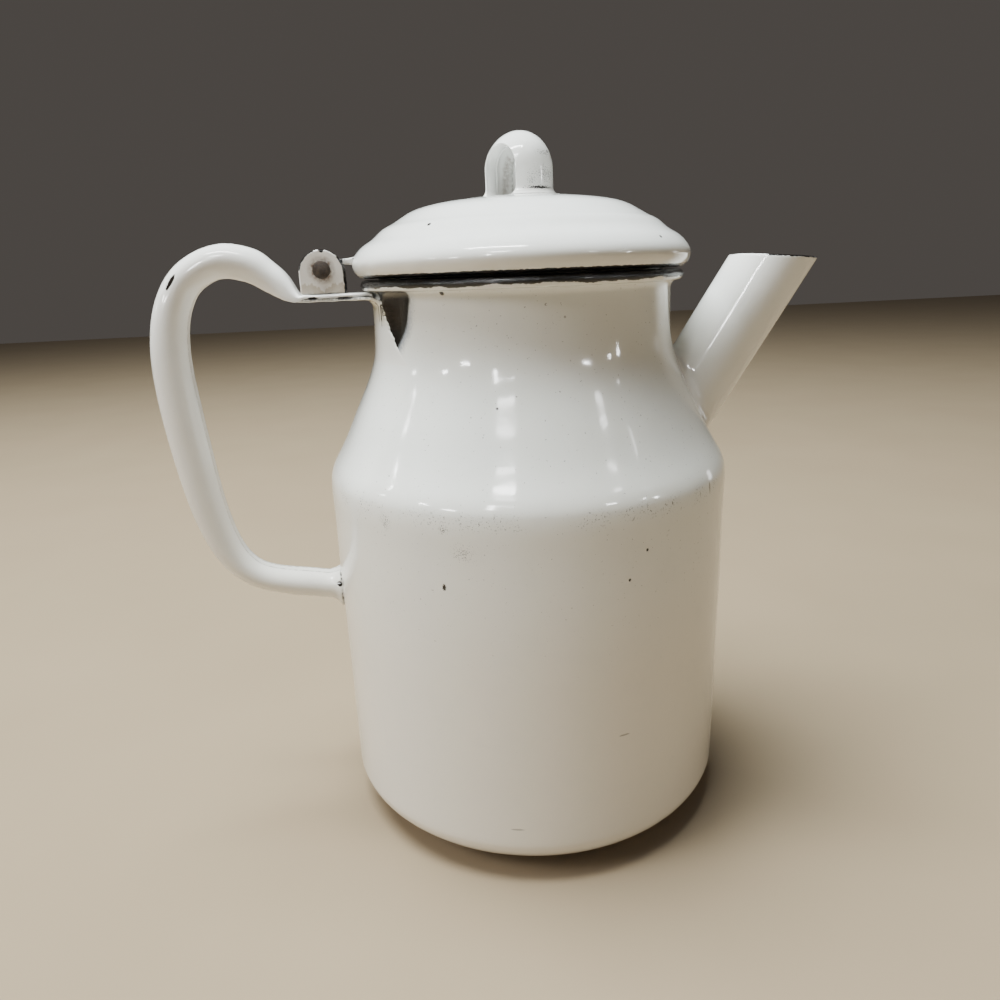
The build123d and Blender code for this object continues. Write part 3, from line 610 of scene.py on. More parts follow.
# ---------------------------------------------------------------- handle
HANDLE = np.array([
    (50.60, 185.86, 0.0, 1.26, 17.0, 0.10, 5.0),
    (61.00, 185.86, 0.0, 1.26, 17.0, 0.10, 5.0),
    (70.60, 185.86, 0.0, 1.28, 17.0, 0.10, 5.0),
    (72.40, 185.78, 1.0, 1.42, 17.0, 0.10, 5.0),
    (73.60, 185.42, 6.0, 2.15, 17.0, 0.11, 4.8),
    (75.30, 186.35, 20.0, 4.05, 16.6, 0.15, 3.6),
    (77.20, 188.20, 21.0, 6.65, 15.7, 0.40, 2.8),
    (79.60, 190.35, 22.5, 8.35, 14.6, 0.62, 2.4),
    (82.70, 192.60, 23.0, 9.45, 13.5, 0.80, 2.1),
    (86.50, 195.30, 21.0, 10.50, 12.7, 0.90, 2.0),
    (90.85, 196.92, 14.0, 10.80, 12.3, 0.94, 2.0),
    (95.20, 197.68, 3.0, 10.77, 12.2, 0.95, 2.0),
    (99.75, 197.20, -14.0, 10.46, 12.2, 0.95, 2.0),
    (104.40, 195.27, -29.0, 10.44, 12.2, 0.95, 2.0),
    (108.80, 192.02, -42.0, 10.54, 12.2, 0.95, 2.0),
    (112.22, 187.28, -58.0, 10.84, 12.3, 0.95, 2.0),
    (114.66, 181.59, -71.0, 11.19, 12.5, 0.95, 2.0),
    (116.09, 175.43, -80.0, 11.59, 12.8, 0.95, 2.0),
    (116.83, 168.53, -86.5, 12.04, 13.2, 0.95, 2.0),
    (116.86, 160.00, -90.5, 12.38, 13.5, 0.95, 2.0),
    (116.30, 150.50, -93.5, 12.64, 13.6, 0.95, 2.0),
    (115.35, 140.01, -96.5, 12.57, 13.5, 0.95, 2.0),
    (114.24, 130.01, -99.0, 12.21, 13.3, 0.95, 2.0),
    (112.83, 119.89, -101.5, 11.72, 12.9, 0.95, 2.0),
    (111.10, 111.40, -105.0, 11.19, 12.5, 0.95, 2.0),
    (108.64, 103.41, -112.5, 10.60, 12.2, 0.95, 2.0),
    (104.98, 96.40, -126.0, 9.82, 12.1, 0.95, 2.0),
    (99.49, 91.11, -141.0, 9.20, 12.1, 0.95, 2.0),
    (92.43, 88.08, -156.0, 9.40, 12.2, 0.95, 2.0),
    (85.31, 86.30, -167.0, 9.82, 12.2, 0.95, 2.0),
    (78.77, 85.10, -177.0, 9.95, 12.1, 0.95, 2.0),
    (74.20, 84.20, -180.0, 10.06, 12.2, 0.95, 2.0),
    (71.90, 83.70, -180.0, 11.50, 12.9, 0.92, 2.0),
    (70.40, 82.95, -180.0, 14.00, 14.4, 0.88, 2.0),
    (69.15, 82.72, -180.0, 15.10, 15.1, 0.86, 2.0)])
seam_half = np.interp(np.arange(len(HANDLE)), [0, 4, 6, 9, 20, 24, 28, 31, 34], [1.2, 1.3, 1.45, 1.5, 1.5, 1.5, 1.5, 1.7, 1.9])


def along(rows, per=8):
    """Rows between the handle's stations, linear in width and smooth in place."""
    cum = np.r_[0, np.cumsum(np.hypot(np.diff(rows[:, 0]), np.diff(rows[:, 1])))]
    f = curve(np.c_[rows[:, :2]])
    t = np.unique(np.concatenate([np.linspace(cum[i], cum[i + 1], max(2, int((cum[i + 1] - cum[i]) / 0.75)) + 1)
                                  for i in range(len(cum) - 1)]))
    place = f(t / cum[-1])
    rest = []
    for c in range(2, rows.shape[1]):
        rest.append(pchip(cum, rows[:, c], t))
    return np.c_[place, np.array(rest).T]


def pchip(x, y, t):
    """Smooth interpolation that never overshoots."""
    h, d = np.diff(x), np.diff(y) / np.diff(x)
    m = np.zeros(len(x))
    for i in range(1, len(x) - 1):
        if d[i - 1] * d[i] > 0:
            w1, w2 = 2 * h[i] + h[i - 1], h[i] + 2 * h[i - 1]
            m[i] = (w1 + w2) / (w1 / d[i - 1] + w2 / d[i])
    m[0], m[-1] = d[0], d[-1]
    i = np.clip(np.searchsorted(x, t, side="right") - 1, 0, len(x) - 2)
    u = (t - x[i]) / h[i]
    return ((2 * u ** 3 - 3 * u ** 2 + 1) * y[i] + (u ** 3 - 2 * u ** 2 + u) * h[i] * m[i]
            + (-2 * u ** 3 + 3 * u ** 2) * y[i + 1] + (u ** 3 - u ** 2) * h[i] * m[i + 1])


ST = along(np.c_[HANDLE, seam_half])


def place(st, x, y):
    """Points in a station's own plane: x across, y away from the hand side."""
    d = math.radians(st[2])
    zd = np.array([-math.cos(d), 0, math.sin(d)])
    xd = np.array([0, -1.0, 0])
    yd = np.cross(zd, xd)
    return np.array([-st[0], 0, st[1]]) + np.asarray(x)[:, None] * xd + np.asarray(y)[:, None] * yd


def bow_xy(st, angles, side_in=0.0, top_in=0.0):
    t, w, kk, p = st[3:7]
    b = t / (1 + kk)
    n0 = -t / 2 + kk * b
    a, bt = w / 2 - side_in, b - top_in
    c, s = np.cos(angles), np.sin(angles)
    x = a * np.sign(c) * np.abs(c) ** (2 / p)
    y = n0 + bt * np.sign(s) * np.abs(s) ** (2 / p)
    return x, np.maximum(y, -t / 2 + top_in)


NB = 60
shell_rings, grime_shade_rows, dark_rows = [], [], []
for st in ST:
    t, w, kk, p = st[3:7]
    ys = min(st[7], w / 2 - 0.3)
    a = w / 2
    start = -math.acos(min(0.999, (ys / a) ** (p / 2)))
    ths = np.linspace(start, math.pi - start, NB)
    x, y = bow_xy(st, ths)
    wall_t = min(1.0, 0.32 * t)
    xi, yi = bow_xy(st, ths, wall_t, wall_t)
    # the sheet's edges turn in at the seam
    x_e0, y_e0 = x[0] - 0.02, y[0] + min(0.28, 0.2 * t)
    ring_x = np.r_[x_e0, x[0] + 0.10, x[1:-1], x[-1] - 0.10, -x_e0, xi[::-1]]
    ring_y = np.r_[y_e0, y[0] + 0.06, y[1:-1], y[-1] + 0.06, y_e0, yi[::-1]]
    shell_rings.append(place(st, ring_x, ring_y))
    # grime and painted shade at the seam's turned-in edges
    g = np.zeros(len(ring_x))
    g[0] = g[NB + 1] = 1.0
    g[1] = g[NB] = 0.80
    grime_shade_rows.append(g)
n_ring = len(grime_shade_rows[0])
V = np.concatenate(shell_rings)
ns = len(shell_rings)
F = [grid(ns, n_ring, wrap_v=True)]


def c_cap(start, flip):
    n = n_ring // 2
    o = np.arange(n_ring - n, n_ring)[::-1]
    outer_i = np.arange(n)
    q = np.stack([outer_i[:-1], outer_i[1:], o[1:], o[:-1]], -1) + start
    return q[:, ::-1] if flip else q


F += [c_cap(0, False), c_cap((ns - 1) * n_ring, True)]
grime_and_shade = np.concatenate(grime_shade_rows)
x_, z_ = V[:, 0], V[:, 2]
station_i = np.repeat(np.arange(ns), n_ring)
# the seam's grime and painted shade is strongest at the lower bend, and also runs along the crease where the foot
# meets the body
bend = np.interp(ST[:, 1], [80, 92, 104, 130, 190, 200], [0.95, 1.0, 1.0, 0.50, 0.25, 0.35])
grime_and_shade = grime_and_shade * bend[station_i]
foot_line = np.clip(1.0 - np.abs(-V[:, 0] - np.sqrt(np.maximum(0, 69.9 ** 2 - V[:, 1] ** 2)) - 0.15) / 0.30, 0, 1)
grime_and_shade = np.maximum(grime_and_shade, 0.95 * foot_line * (V[:, 2] < 96))
foot_gap = -V[:, 0] - np.sqrt(np.maximum(0, 69.95 ** 2 - V[:, 1] ** 2)) - 0.10
dark = np.where((V[:, 2] < 96) & (V[:, 1] < 2.0), np.clip(0.06 - 0.5 * np.abs(foot_gap), -9, 9), -9) + 10
handle_mat = enamel(
    "handle_enamel", (0.83, 0.825, 0.81), (0.80, 0.785, 0.745), 88.0, 175.0, 0.080, specks=0.585,
    marks=[dict(at=(-112.1, -4.5, 191.8), r=(0.62, 4.0, 2.9), tilt=-35.0, ragged=0.9, edge=0.2),
           dict(at=(-70.5, -6.9, 86.3), r=(0.98, 1.8, 0.98), ragged=0.3, edge=0.12, tiny=True),
           dict(at=(-69.2, -8.6, 185.2), r=(1.75, 1.2, 0.48), ragged=0.9, edge=0.2),
           dict(at=(-59.0, -8.6, 184.95), r=(2.7, 1.2, 0.50), ragged=1.0, edge=0.2),
           dict(at=(-52.6, -8.6, 185.0), r=(1.5, 1.0, 0.32), ragged=1.3, edge=0.2)])
make("handle_shell_piece", V, F, "pot", handle_mat, ("handle_shell",), {"grime_and_shade": grime_and_shade, "dark": dark}, 55.0)

# closing strip: a narrow bowed band that stands a little proud of the shell
strip_rings, grime_shade_rows = [], []
first = int(np.argmax(ST[:, 0] > 73.9))
last_s = len(ST)
NS = 17
for st in ST[first:last_s]:
    t, w, kk, p = st[3:7]
    ys = min(st[7], w / 2 - 0.3) - 0.10
    a = w / 2
    xs = np.linspace(ys, -ys, NS)
    b = t / (1 + kk)
    n0 = -t / 2 + kk * b
    y = n0 - b * (1 - np.minimum(1, np.abs(xs) / a) ** p) ** (1 / p)
    y = np.maximum(y, -t / 2) + 0.10 * (1 - (xs / ys) ** 6) - 0.06
    y[0] += 0.16
    y[-1] += 0.16
    y = np.maximum(y, -t / 2 + 0.0)
    deep = min(0.9, 0.4 * t)
    x2 = xs[::-1] * 0.97
    strip_rings.append(place(st, np.r_[xs, x2], np.r_[y, y[::-1] + deep]))
    # grime and painted shade along the strip's edges at the seam
    g = np.zeros(2 * NS)
    g[[0, NS - 1]] = 1.0
    grime_shade_rows.append(g)
V = np.concatenate(strip_rings)
ns, n_ring = len(strip_rings), 2 * NS
F = [grid(ns, n_ring, wrap_v=True), c_cap(0, False), c_cap((ns - 1) * n_ring, True)]
make("handle_strip_piece", V, F, "pot", handle_mat, ("handle_strip",),
     {"grime_and_shade": np.concatenate(grime_shade_rows) * 0.8}, 55.0)

# ---------------------------------------------------------------- neck bracket: lower tongue layer and saddle
hw_pts = [(14.2, 185.2), (15.6, 182.6), (17.5, 179.6), (21.8, 173.6), (25.4, 169.3), (29.0, 166.2), (31.8, 164.6), (31.3, 163.5)]
hw_z = np.array([p[1] for p in hw_pts])[::-1]
hw_y = np.array([p[0] for p in hw_pts])[::-1]
nu = 121
sv = np.linspace(-1, 1, nu)
u = np.sign(sv) * (1 - (1 - np.abs(sv)) ** 1.7)
TL_LO, TL_HI, RK = 184.15, 185.05, 2.9


def neck_s(z, y, t):
    """The neck's surface plus t, in the same slow unevenness as the body, as a distance along -X."""
    z, y = np.asarray(z, float) + 0 * np.asarray(y, float), np.asarray(y, float)
    s_ = np.sqrt(np.maximum((body_r(z) + t) ** 2 - y ** 2, 1.0))
    r_ = body_r(z) + waves(np.arctan2(y, -s_), z, 0.16, 5) * np.clip((182.0 - z) / 14.0, 0, 1)
    return np.sqrt(np.maximum((r_ + t) ** 2 - y ** 2, 1.0))


out_rows, in_rows, tint_rows = [], [], []
for q in np.linspace(0, 1, 30):
    s_mid = 73.9 + (50.5 + RK - 73.9) * q
    hw = 8.45 + 5.0 * max(0.0, (59.5 - s_mid) / 6.1) ** 2.2
    y = u * hw
    e = np.sqrt(1 - (1 - np.minimum((1 - np.abs(u)) * hw / 0.45, 1)) ** 2)
    s_end = neck_s(TL_LO, y, 0.35) + RK
    s = 73.9 + (s_end - 73.9) * q
    wob = 0.10 * np.sin(s * 0.9 + y * 0.25) - 0.05
    out_rows.append(np.c_[-s, y, TL_LO + 0.25 * (1 - e) + wob * 0.6])
    in_rows.append(np.c_[-s, y, TL_HI - 0.22 * (1 - e)])
    tint_rows.append(np.full(nu, 0.35 * max(0.0, (q - 0.7) / 0.3)))
for a in np.radians(np.linspace(0, 90, 12))[1:]:
    z = TL_LO - RK * (1 - math.cos(a))
    hw = float(np.interp(z, hw_z, hw_y)) * (a / (math.pi / 2)) + 13.45 * (1 - a / (math.pi / 2))
    y = u * hw
    e = np.sqrt(1 - (1 - np.minimum((1 - np.abs(u)) * hw / 0.55, 1)) ** 2)
    base_s = neck_s(np.full(nu, z), y, 0.35 * e - 0.12 * (1 - e))
    out_rows.append(np.c_[-(base_s + RK * (1 - math.sin(a))), y, np.full(nu, z) + 0.2 * (1 - e)])
    g = a / (math.pi / 2)
    s_top = neck_s(np.full(nu, TL_LO), y, 0.35) + RK
    s_in = (1 - g) * s_top + g * neck_s(np.full(nu, z), y, -0.3)
    in_rows.append(np.c_[-np.minimum(s_in, base_s + RK * (1 - math.sin(a)) - 0.02), y, np.full(nu, TL_HI - 1.6 * g)])
    tint_rows.append(np.full(nu, 0.85))
z_lo = 163.5
for z in np.linspace(TL_LO - RK, z_lo, 86)[1:]:
    hw = float(pchip(hw_z, hw_y, np.array([z]))[0])
    y = u * hw
    y = y + (0.28 * math.sin(z * 1.7) + 0.20 * math.sin(z * 4.1 + 1) + 0.10 * math.sin(z * 9.3)) * np.abs(u) ** 3 * np.sign(-u) * (z > 170)
    # the saddle is drawn out thin: it runs out into the shoulder without an edge below
    thin = min(1.0, max(0.0, (z - z_lo - 0.8) / 9.5))
    thin = thin * thin * (3 - 2 * thin)
    wide = 0.6 + 2.6 * (1 - thin)
    e = np.sqrt(1 - (1 - np.clip((1 - np.abs(u)) * hw / wide, 0, 1)) ** 2)
    lift = 0.40 * thin * e - (0.03 + 0.09 * thin) * (1 - e) - 0.06 * max(0.0, 1 - (z - z_lo) / 1.2)
    out_rows.append(np.c_[-neck_s(np.full(nu, z), y, lift), y, np.full(nu, z)])
    in_rows.append(np.c_[-neck_s(np.full(nu, z), y, -0.32), y, np.full(nu, z)])
    tint_rows.append(np.full(nu, 0.85 * max(0.0, 1 - (TL_LO - RK - z) / 5.5)) * (0.45 + 0.55 * (y < -6.0)))
no = len(out_rows)
V = np.r_[np.concatenate(out_rows), np.concatenate(in_rows)]
n0_ = no * nu
F = [grid(no, nu), grid(no, nu, flip=True, start=n0_)]
i = np.arange(no - 1)
F.append(np.stack([i * nu, (i + 1) * nu, (i + 1) * nu + n0_, i * nu + n0_], -1)[:, ::-1])
F.append(np.stack([i * nu + nu - 1, (i + 1) * nu + nu - 1, (i + 1) * nu + nu - 1 + n0_, i * nu + nu - 1 + n0_], -1))
j = np.arange(nu - 1)
F.append(np.stack([j, j + 1, j + 1 + n0_, j + n0_], -1))
F.append(np.stack([j, j + 1, j + 1 + n0_, j + n0_], -1)[:, ::-1] + (no - 1) * nu)
tint = np.r_[np.concatenate(tint_rows), np.zeros(n0_)]
# grime and painted shade along the bracket's side edges higher up and over all of its underside
side = np.tile(np.abs(u) > 0.985, no)
zz = V[:, 2]
grime_and_shade = np.r_[side * 0.30 * np.clip((zz[:n0_] - 174.0) / 6.0, 0, 1), np.full(n0_, 0.9)]
neck_mat = enamel(
    "neck_enamel", (0.80, 0.82, 0.80), (0.80, 0.79, 0.76), 160.0, 180.0, 0.085, specks=0.60, tint_col=(0.66, 0.57, 0.36),
    marks=[dict(at=(-49.6, -13.2, 180.6), r=(1.6, 0.34, 3.6), ragged=1.4, edge=0.16),
           dict(at=(-48.4, -15.2, 179.6), r=(1.6, 0.40, 3.4), ragged=1.6, edge=0.16),
           dict(at=(-47.9, -16.4, 181.0), r=(2.0, 1.5, 4.4), ragged=5.0, less=0.55, tiny=True),
           dict(at=(-50.6, -12.6, 182.9), r=(2.0, 1.2, 0.34), ragged=1.3, edge=0.16),
           dict(at=(-69.2, -8.6, 185.2), r=(1.75, 1.2, 0.48), ragged=0.9, edge=0.2),
           dict(at=(-59.0, -8.6, 184.95), r=(2.7, 1.2, 0.50), ragged=1.0, edge=0.2),
           dict(at=(-52.6, -9.6, 184.9), r=(1.8, 1.6, 0.34), ragged=1.3, edge=0.2)])
make("neck_bracket_piece", V, F, "pot", neck_mat, ("neck_bracket",), {"tint": tint, "grime_and_shade": grime_and_shade}, 50.0)

# ---------------------------------------------------------------- hinge bracket
PIN_X, PIN_Z = -65.70, 193.85
EAR_R, EAR_C, EAR_IN, EAR_OUT, BZ = 7.15, 192.90, 5.3, 6.65, 186.5


def slab(outline, y0, y1, bevel, seg=4):
    """A plate with rounded edges: an outline in the XZ plane, thickened along Y."""
    o = np.asarray(outline, float)
    nxt, prv = np.roll(o, -1, 0), np.roll(o, 1, 0)
    tan = nxt - prv
    tan /= np.linalg.norm(tan, axis=1)[:, None]
    nrm = np.c_[tan[:, 1], -tan[:, 0]]
    area2 = np.sum(o[:, 0] * nxt[:, 1] - nxt[:, 0] * o[:, 1])
    if area2 < 0:
        nrm = -nrm
    rows = []
    for kq in range(seg + 1):
        a = math.pi / 2 * kq / seg
        rows.append((o - nrm * bevel * (1 - math.sin(a)), y0 + bevel * (1 - math.cos(a))))
    for kq in range(seg, -1, -1):
        a = math.pi / 2 * kq / seg
        rows.append((o - nrm * bevel * (1 - math.sin(a)), y1 - bevel * (1 - math.cos(a))))
    n = len(o)
    v = np.concatenate([np.c_[r[:, 0], np.full(n, y), r[:, 1]] for r, y in rows])
    c = o.mean(0)
    v = np.r_[v, [[c[0], y0, c[1]], [c[0], y1, c[1]]]]
    nr_ = len(rows)
    f = [grid(nr_, n, wrap_v=True), fan(np.arange(n), nr_ * n), fan(np.arange(n) + (nr_ - 1) * n, nr_ * n + 1, True)]
    return v, f


def joined(parts):
    vs, quads, tris, b = [], [], [], 0
    for v, fs in parts:
        vs.append(v)
        for f in fs:
            (quads if f.shape[1] == 4 else tris).append(f + b)
        b += len(v)
    return np.concatenate(vs), [np.concatenate(quads)] + ([np.concatenate(tris)] if tris else [])


def ear_outline(n=40):
    pts = []
    for zq in np.linspace(BZ + 0.02, EAR_C, 12)[:-1]:
        pts.append((PIN_X + EAR_R, zq))
    for a in np.linspace(0, math.pi, n):
        pts.append((PIN_X + EAR_R * math.cos(a), EAR_C + EAR_R * math.sin(a)))
    for zq in np.linspace(EAR_C, BZ + 0.02, 12)[1:]:
        pts.append((PIN_X - EAR_R, zq))
    for xq in np.linspace(PIN_X - EAR_R, PIN_X + EAR_R, 16)[1:-1]:
        pts.append((xq, BZ + 0.02))
    return pts


def remeshed(parts, size, smooth_n, dome=None):
    """Closed pieces run together under one soft skin."""
    v, f = joined(parts)
    me = bpy.data.meshes.new("tmp")
    me.from_pydata((v * 0.001).tolist(), [], [list(map(int, q)) for arr in f for q in arr])
    bm = bmesh.new()
    bm.from_mesh(me)
    bmesh.ops.recalc_face_normals(bm, faces=bm.faces)
    bm.to_mesh(me)
    bm.free()
    ob = bpy.data.objects.new("tmp", me)
    bpy.context.scene.collection.objects.link(ob)
    md = ob.modifiers.new("r", "REMESH")
    md.mode, md.voxel_size, md.use_smooth_shade = "VOXEL", size * 0.001, True
    sm = ob.modifiers.new("s", "SMOOTH")
    sm.factor, sm.iterations = 0.5, smooth_n
    bpy.context.view_layer.update()
    ev = ob.evaluated_get(bpy.context.evaluated_depsgraph_get())
    out = bpy.data.meshes.new_from_object(ev)
    co = np.empty(len(out.vertices) * 3, np.float32)
    out.vertices.foreach_get("co", co)
    quads = [tuple(pl.vertices) for pl in out.polygons]
    bpy.data.objects.remove(ob)
    q4 = np.array([q for q in quads if len(q) == 4], np.int32).reshape(-1, 4)
    q3 = np.array([q for q in quads if len(q) == 3], np.int32).reshape(-1, 3)
    return co.reshape(-1, 3).astype(float) * 1000, [q4, q3]


parts = []
for sgn in (-1, 1):
    y0, y1 = sorted((sgn * EAR_IN, sgn * EAR_OUT))
    parts.append(slab(ear_outline(), y0, y1, 0.34))
plate = [(PIN_X + EAR_R, BZ + 0.03), (PIN_X + EAR_R, BZ + 1.0), (PIN_X - EAR_R, BZ + 1.0), (PIN_X - EAR_R, BZ + 0.03)]
dense_plate = np.concatenate([np.linspace(plate[k2], plate[(k2 + 1) % 4], 14)[:-1] for k2 in range(4)])
parts.append(slab(dense_plate, -EAR_OUT, EAR_OUT, 0.28))
V, F = remeshed(parts, 0.17, 7)
rad = np.hypot(V[:, 0] - PIN_X, V[:, 2] - PIN_Z)
outside = np.abs(V[:, 1]) > EAR_OUT - 0.45
rust = np.clip((4.75 - rad) / 1.75, 0, 1) ** 1.2 * outside * 0.95
low_z = (189.7 - 2.2 * np.exp(-((V[:, 0] + 65.6) / 1.9) ** 2) + 0.30 * np.sin(V[:, 0] * 2.7) + 0.22 * np.sin(V[:, 0] * 5.9 + 1)
         + 0.12 * np.sin(V[:, 0] * 11.3 + 2))
low = np.clip((low_z - V[:, 2]) / 0.30, 0, 1)
low = low * (V[:, 2] > BZ + 0.15) * outside
edge_d = EAR_R - np.where(V[:, 2] > EAR_C, np.hypot(V[:, 0] - PIN_X, V[:, 2] - EAR_C), np.abs(V[:, 0] - PIN_X))
ang_e = np.degrees(np.arctan2(V[:, 2] - EAR_C, V[:, 0] - PIN_X))
chip = np.where((ang_e > 106) & (ang_e < 172), 0.40 - edge_d, -4.0)
chip = np.maximum(chip, np.where((ang_e > -48) & (ang_e < 44), 0.48 - edge_d, -4.0))
chip = np.maximum(chip, np.where((ang_e > 44) & (ang_e < 76), 0.10 - edge_d, -4.0))
chip = np.maximum(chip, 0.85 - np.hypot((V[:, 0] - PIN_X - 0.4), (V[:, 2] - EAR_C - EAR_R + 0.1)))
chip = np.where(np.abs(V[:, 1]) > EAR_OUT - 0.30, chip, np.maximum(chip, -0.1 + 0 * chip))
chip = np.where(np.abs(V[:, 1]) < EAR_OUT - 0.30, np.maximum(chip, np.where(V[:, 2] > 190.0, 0.25 - edge_d, -4)), chip)
# grime and painted shade in the crease along the foot of the plate
base_line = np.clip(1 - np.abs(V[:, 2] - BZ - 0.20) / 0.26, 0, 1) * (V[:, 0] > PIN_X - 5)
ear_mat = enamel("ear_enamel", (0.85, 0.83, 0.81), (0.84, 0.82, 0.80), 180.0, 196.0, 0.13, specks=0.585,
                 tint_col=(0.46, 0.40, 0.315))
make("hinge_bracket_piece", V, F, "pot", ear_mat, ("hinge_bracket",),
     {"rust": rust, "dark": np.clip(chip, -9, 9) + 10, "tint": low * 0.95, "matte": low * 0.75,
      "grime_and_shade": base_line}, 60.0)


# ---------------------------------------------------------------- rivet
def spun(profile_rz, n=72, bumps=0.0, seed=1):
    """A turned piece about +Z from its profile, which starts and ends on the axis."""
    p = np.asarray(profile_rz, float)
    a = np.linspace(0, 2 * math.pi, n, endpoint=False)
    body_p = p[1:-1]
    R_, A_ = np.meshgrid(body_p[:, 0], a, indexing="ij")
    Z_ = np.repeat(body_p[:, 1][:, None], n, 1)
    if bumps:
        r2 = np.random.default_rng(seed)
        for _ in range(9):
            k1, k2, k3 = r2.integers(1, 7), r2.uniform(-3, 3), r2.uniform(0, 6.28)
            R_ = R_ - bumps / 9 * (1 + np.sin(k1 * A_ + k2 * Z_ + k3)) * np.clip(R_, 0, 1)
    v = np.stack([R_ * np.cos(A_), R_ * np.sin(A_), Z_], -1).reshape(-1, 3)
    m_ = len(body_p)
    v = np.r_[v, [[0, 0, p[0, 1]], [0, 0, p[-1, 1]]]]
    return v, [grid(m_, n, wrap_v=True), fan(np.arange(n), m_ * n), fan(np.arange(n) + (m_ - 1) * n, m_ * n + 1, True)]


h0, h1, h2 = EAR_OUT + 0.02, EAR_OUT + 0.35, EAR_OUT + 1.35
dome = [(2.95 * math.cos(a) ** 0.9, h1 + (h2 - h1) * math.sin(a)) for a in np.radians(np.linspace(0, 84, 13))]
prof = [(0, -h2)] + [(r, -z) for r, z in dome[::-1]] + [(2.93, -h1 + 0.12), (2.82, -h0 - 0.02), (1.54, -h0), (1.54, 0.0), (1.54, h0),
                                                        (2.82, h0 + 0.02), (2.93, h1 - 0.12)] + dome + [(0, h2)]
v, F = spun(prof, 72, 0.16, 4)
V = np.c_[v[:, 0] + PIN_X, v[:, 2], v[:, 1] + PIN_Z]
make("hinge_rivet_piece", V, F, "pot", rusty("rivet_rust"), ("hinge_rivet",), None, 50.0)

# ---------------------------------------------------------------- lid
LID = [(0.0, 214.90), (8.0, 214.72), (14.5, 214.28), (20.0, 213.70), (26.0, 212.95), (31.0, 212.20),
       (34.2, 211.40), (36.8, 210.40), (39.0, 209.15), (41.0, 207.95), (43.0, 206.85), (45.0, 205.90),
       (46.8, 204.60), (48.4, 203.20), (50.2, 201.95), (52.3, 200.65), (54.2, 198.95), (55.6, 197.10),
       (56.25, 195.20), (55.95, 193.40), (54.90, 191.80), (53.40, 190.80), (51.9, 190.45)]
lid_f = curve(LID, (1, 0), (-1, 0))
lid_out = lid_f(np.linspace(0, 1, 110))
d = np.gradient(lid_out, axis=0)
d /= np.linalg.norm(d, axis=1)[:, None]
lid_in = (lid_out + np.c_[-d[:, 1], d[:, 0]] * -1.0)[::-1]
if lid_in[len(lid_in) // 2, 1] > lid_out[len(lid_out) // 2, 1]:
    lid_in = (lid_out + np.c_[-d[:, 1], d[:, 0]] * 1.0)[::-1]
lip = np.array([(51.0, 190.45), (49.9, 190.45), (49.52, 190.6), (49.4, 190.95), (49.52, 191.3), (49.9, 191.45), (51.0, 191.45)])
lid_in = lid_in[(lid_in[:, 0] > 5.0)]
profile = np.r_[lid_out[lid_out[:, 0] > 3.0], lip, lid_in[::1]]
n_o = int(np.sum(lid_out[:, 0] > 3.0))
TH = np.radians(np.arange(-180, 180, 1.5))
R, T = np.meshgrid(profile[:, 0], TH, indexing="ij")
Z = np.repeat(profile[:, 1][:, None], len(TH), 1)
calm = np.clip((R - 18) / 12, 0, 1) * np.clip((Z - 192.0) / 4.0, 0, 1)
Z = Z + waves(T, R * 2, 0.14, 9) * calm
R = R + waves(T, R * 2, 0.16, 10) * np.clip((R - 40) / 10, 0, 1) * (np.arange(len(profile))[:, None] < n_o)
V = np.stack([R * np.cos(T), R * np.sin(T), Z], -1).reshape(-1, 3)
nr, nc = R.shape
V = np.r_[V, [[0, 0, 214.90], [0, 0, 213.90]]]
F = [grid(nr, nc, wrap_v=True), fan(np.arange(nc), nr * nc), fan(np.arange(nc) + (nr - 1) * nc, nr * nc + 1, True)]
row = np.arange(nr)[:, None] + np.zeros_like(R)
dark = np.where(row < n_o, np.where(R > 45, 191.55 - Z, -9), np.where((row < n_o + 9) | ((R > 48.8) & (Z < 192.0)), 3.0, -9))
dark = np.clip(dark, -9, 9) + 10
# a painted beige reflection on the outside of the lid's lower edge
tint = np.where((row < n_o) & (R > 50), np.clip((195.0 - Z) / 3.0, 0, 1) * 0.10, 0.0)
lid_mat = enamel(
    "lid_enamel", (0.81, 0.825, 0.815), (0.80, 0.79, 0.755), 190.0, 198.0, 0.075, specks=0.60,
    marks=[dict(at=(-32.7, -32.7, 205.0), r=(0.60, 0.60, 0.60), tiny=True, ragged=1.0),
           dict(at=(33.8, -42.0, 199.3), r=(0.55, 0.55, 0.5), tiny=True, ragged=1.0)])
make("lid_dome_piece", V, F, "lid", lid_mat, ("lid_dome",),
     {"dark": np.r_[dark.ravel(), 0, 0], "tint": np.r_[tint.ravel(), 0, 0]}, 50.0)

# collar inside the neck
cz, cr, ct, clow = 191.45, 48.0, 0.8, 181.5
arc_o = [(cr + 0.9 - 0.9 * math.cos(a), cz - 0.9 + 0.9 * math.sin(a)) for a in np.radians(np.linspace(0, 90, 7))]
arc_i = [(cr + 0.9 - 1.7 * math.cos(a), cz - 0.9 + 1.7 * math.sin(a)) for a in np.radians(np.linspace(90, 0, 9))]
col = ([(cr - 0.1, clow + 0.02), (cr, clow + 0.25)] + [(cr, z) for z in np.linspace(clow + 1, cz - 1.4, 8)] + arc_o + [(50.0, cz), (51.0, cz + 0.1), (51.15, cz + 0.4),
       (51.0, cz + 0.7), (50.0, cz + ct)] + arc_i + [(cr - ct, z) for z in np.linspace(cz - 1.4, clow + 1, 8)]
       + [(cr - ct, clow + 0.25), (cr - ct + 0.15, clow + 0.02)])
col = np.array(col)
TH = np.radians(np.arange(0, 360, 2.0))
R, T = np.meshgrid(col[:, 0], TH, indexing="ij")
Z = np.repeat(col[:, 1][:, None], len(TH), 1)
V = np.stack([R * np.cos(T), R * np.sin(T), Z + 0 * T], -1).reshape(-1, 3)
dk = np.clip(clow + 0.9 - Z, -9, 9).ravel() + 10
make("lid_collar_piece", V, [grid(len(col), len(TH), wrap_u=True, wrap_v=True)], "lid", lid_mat, ("lid_collar",),
     {"dark": dk}, 50.0)


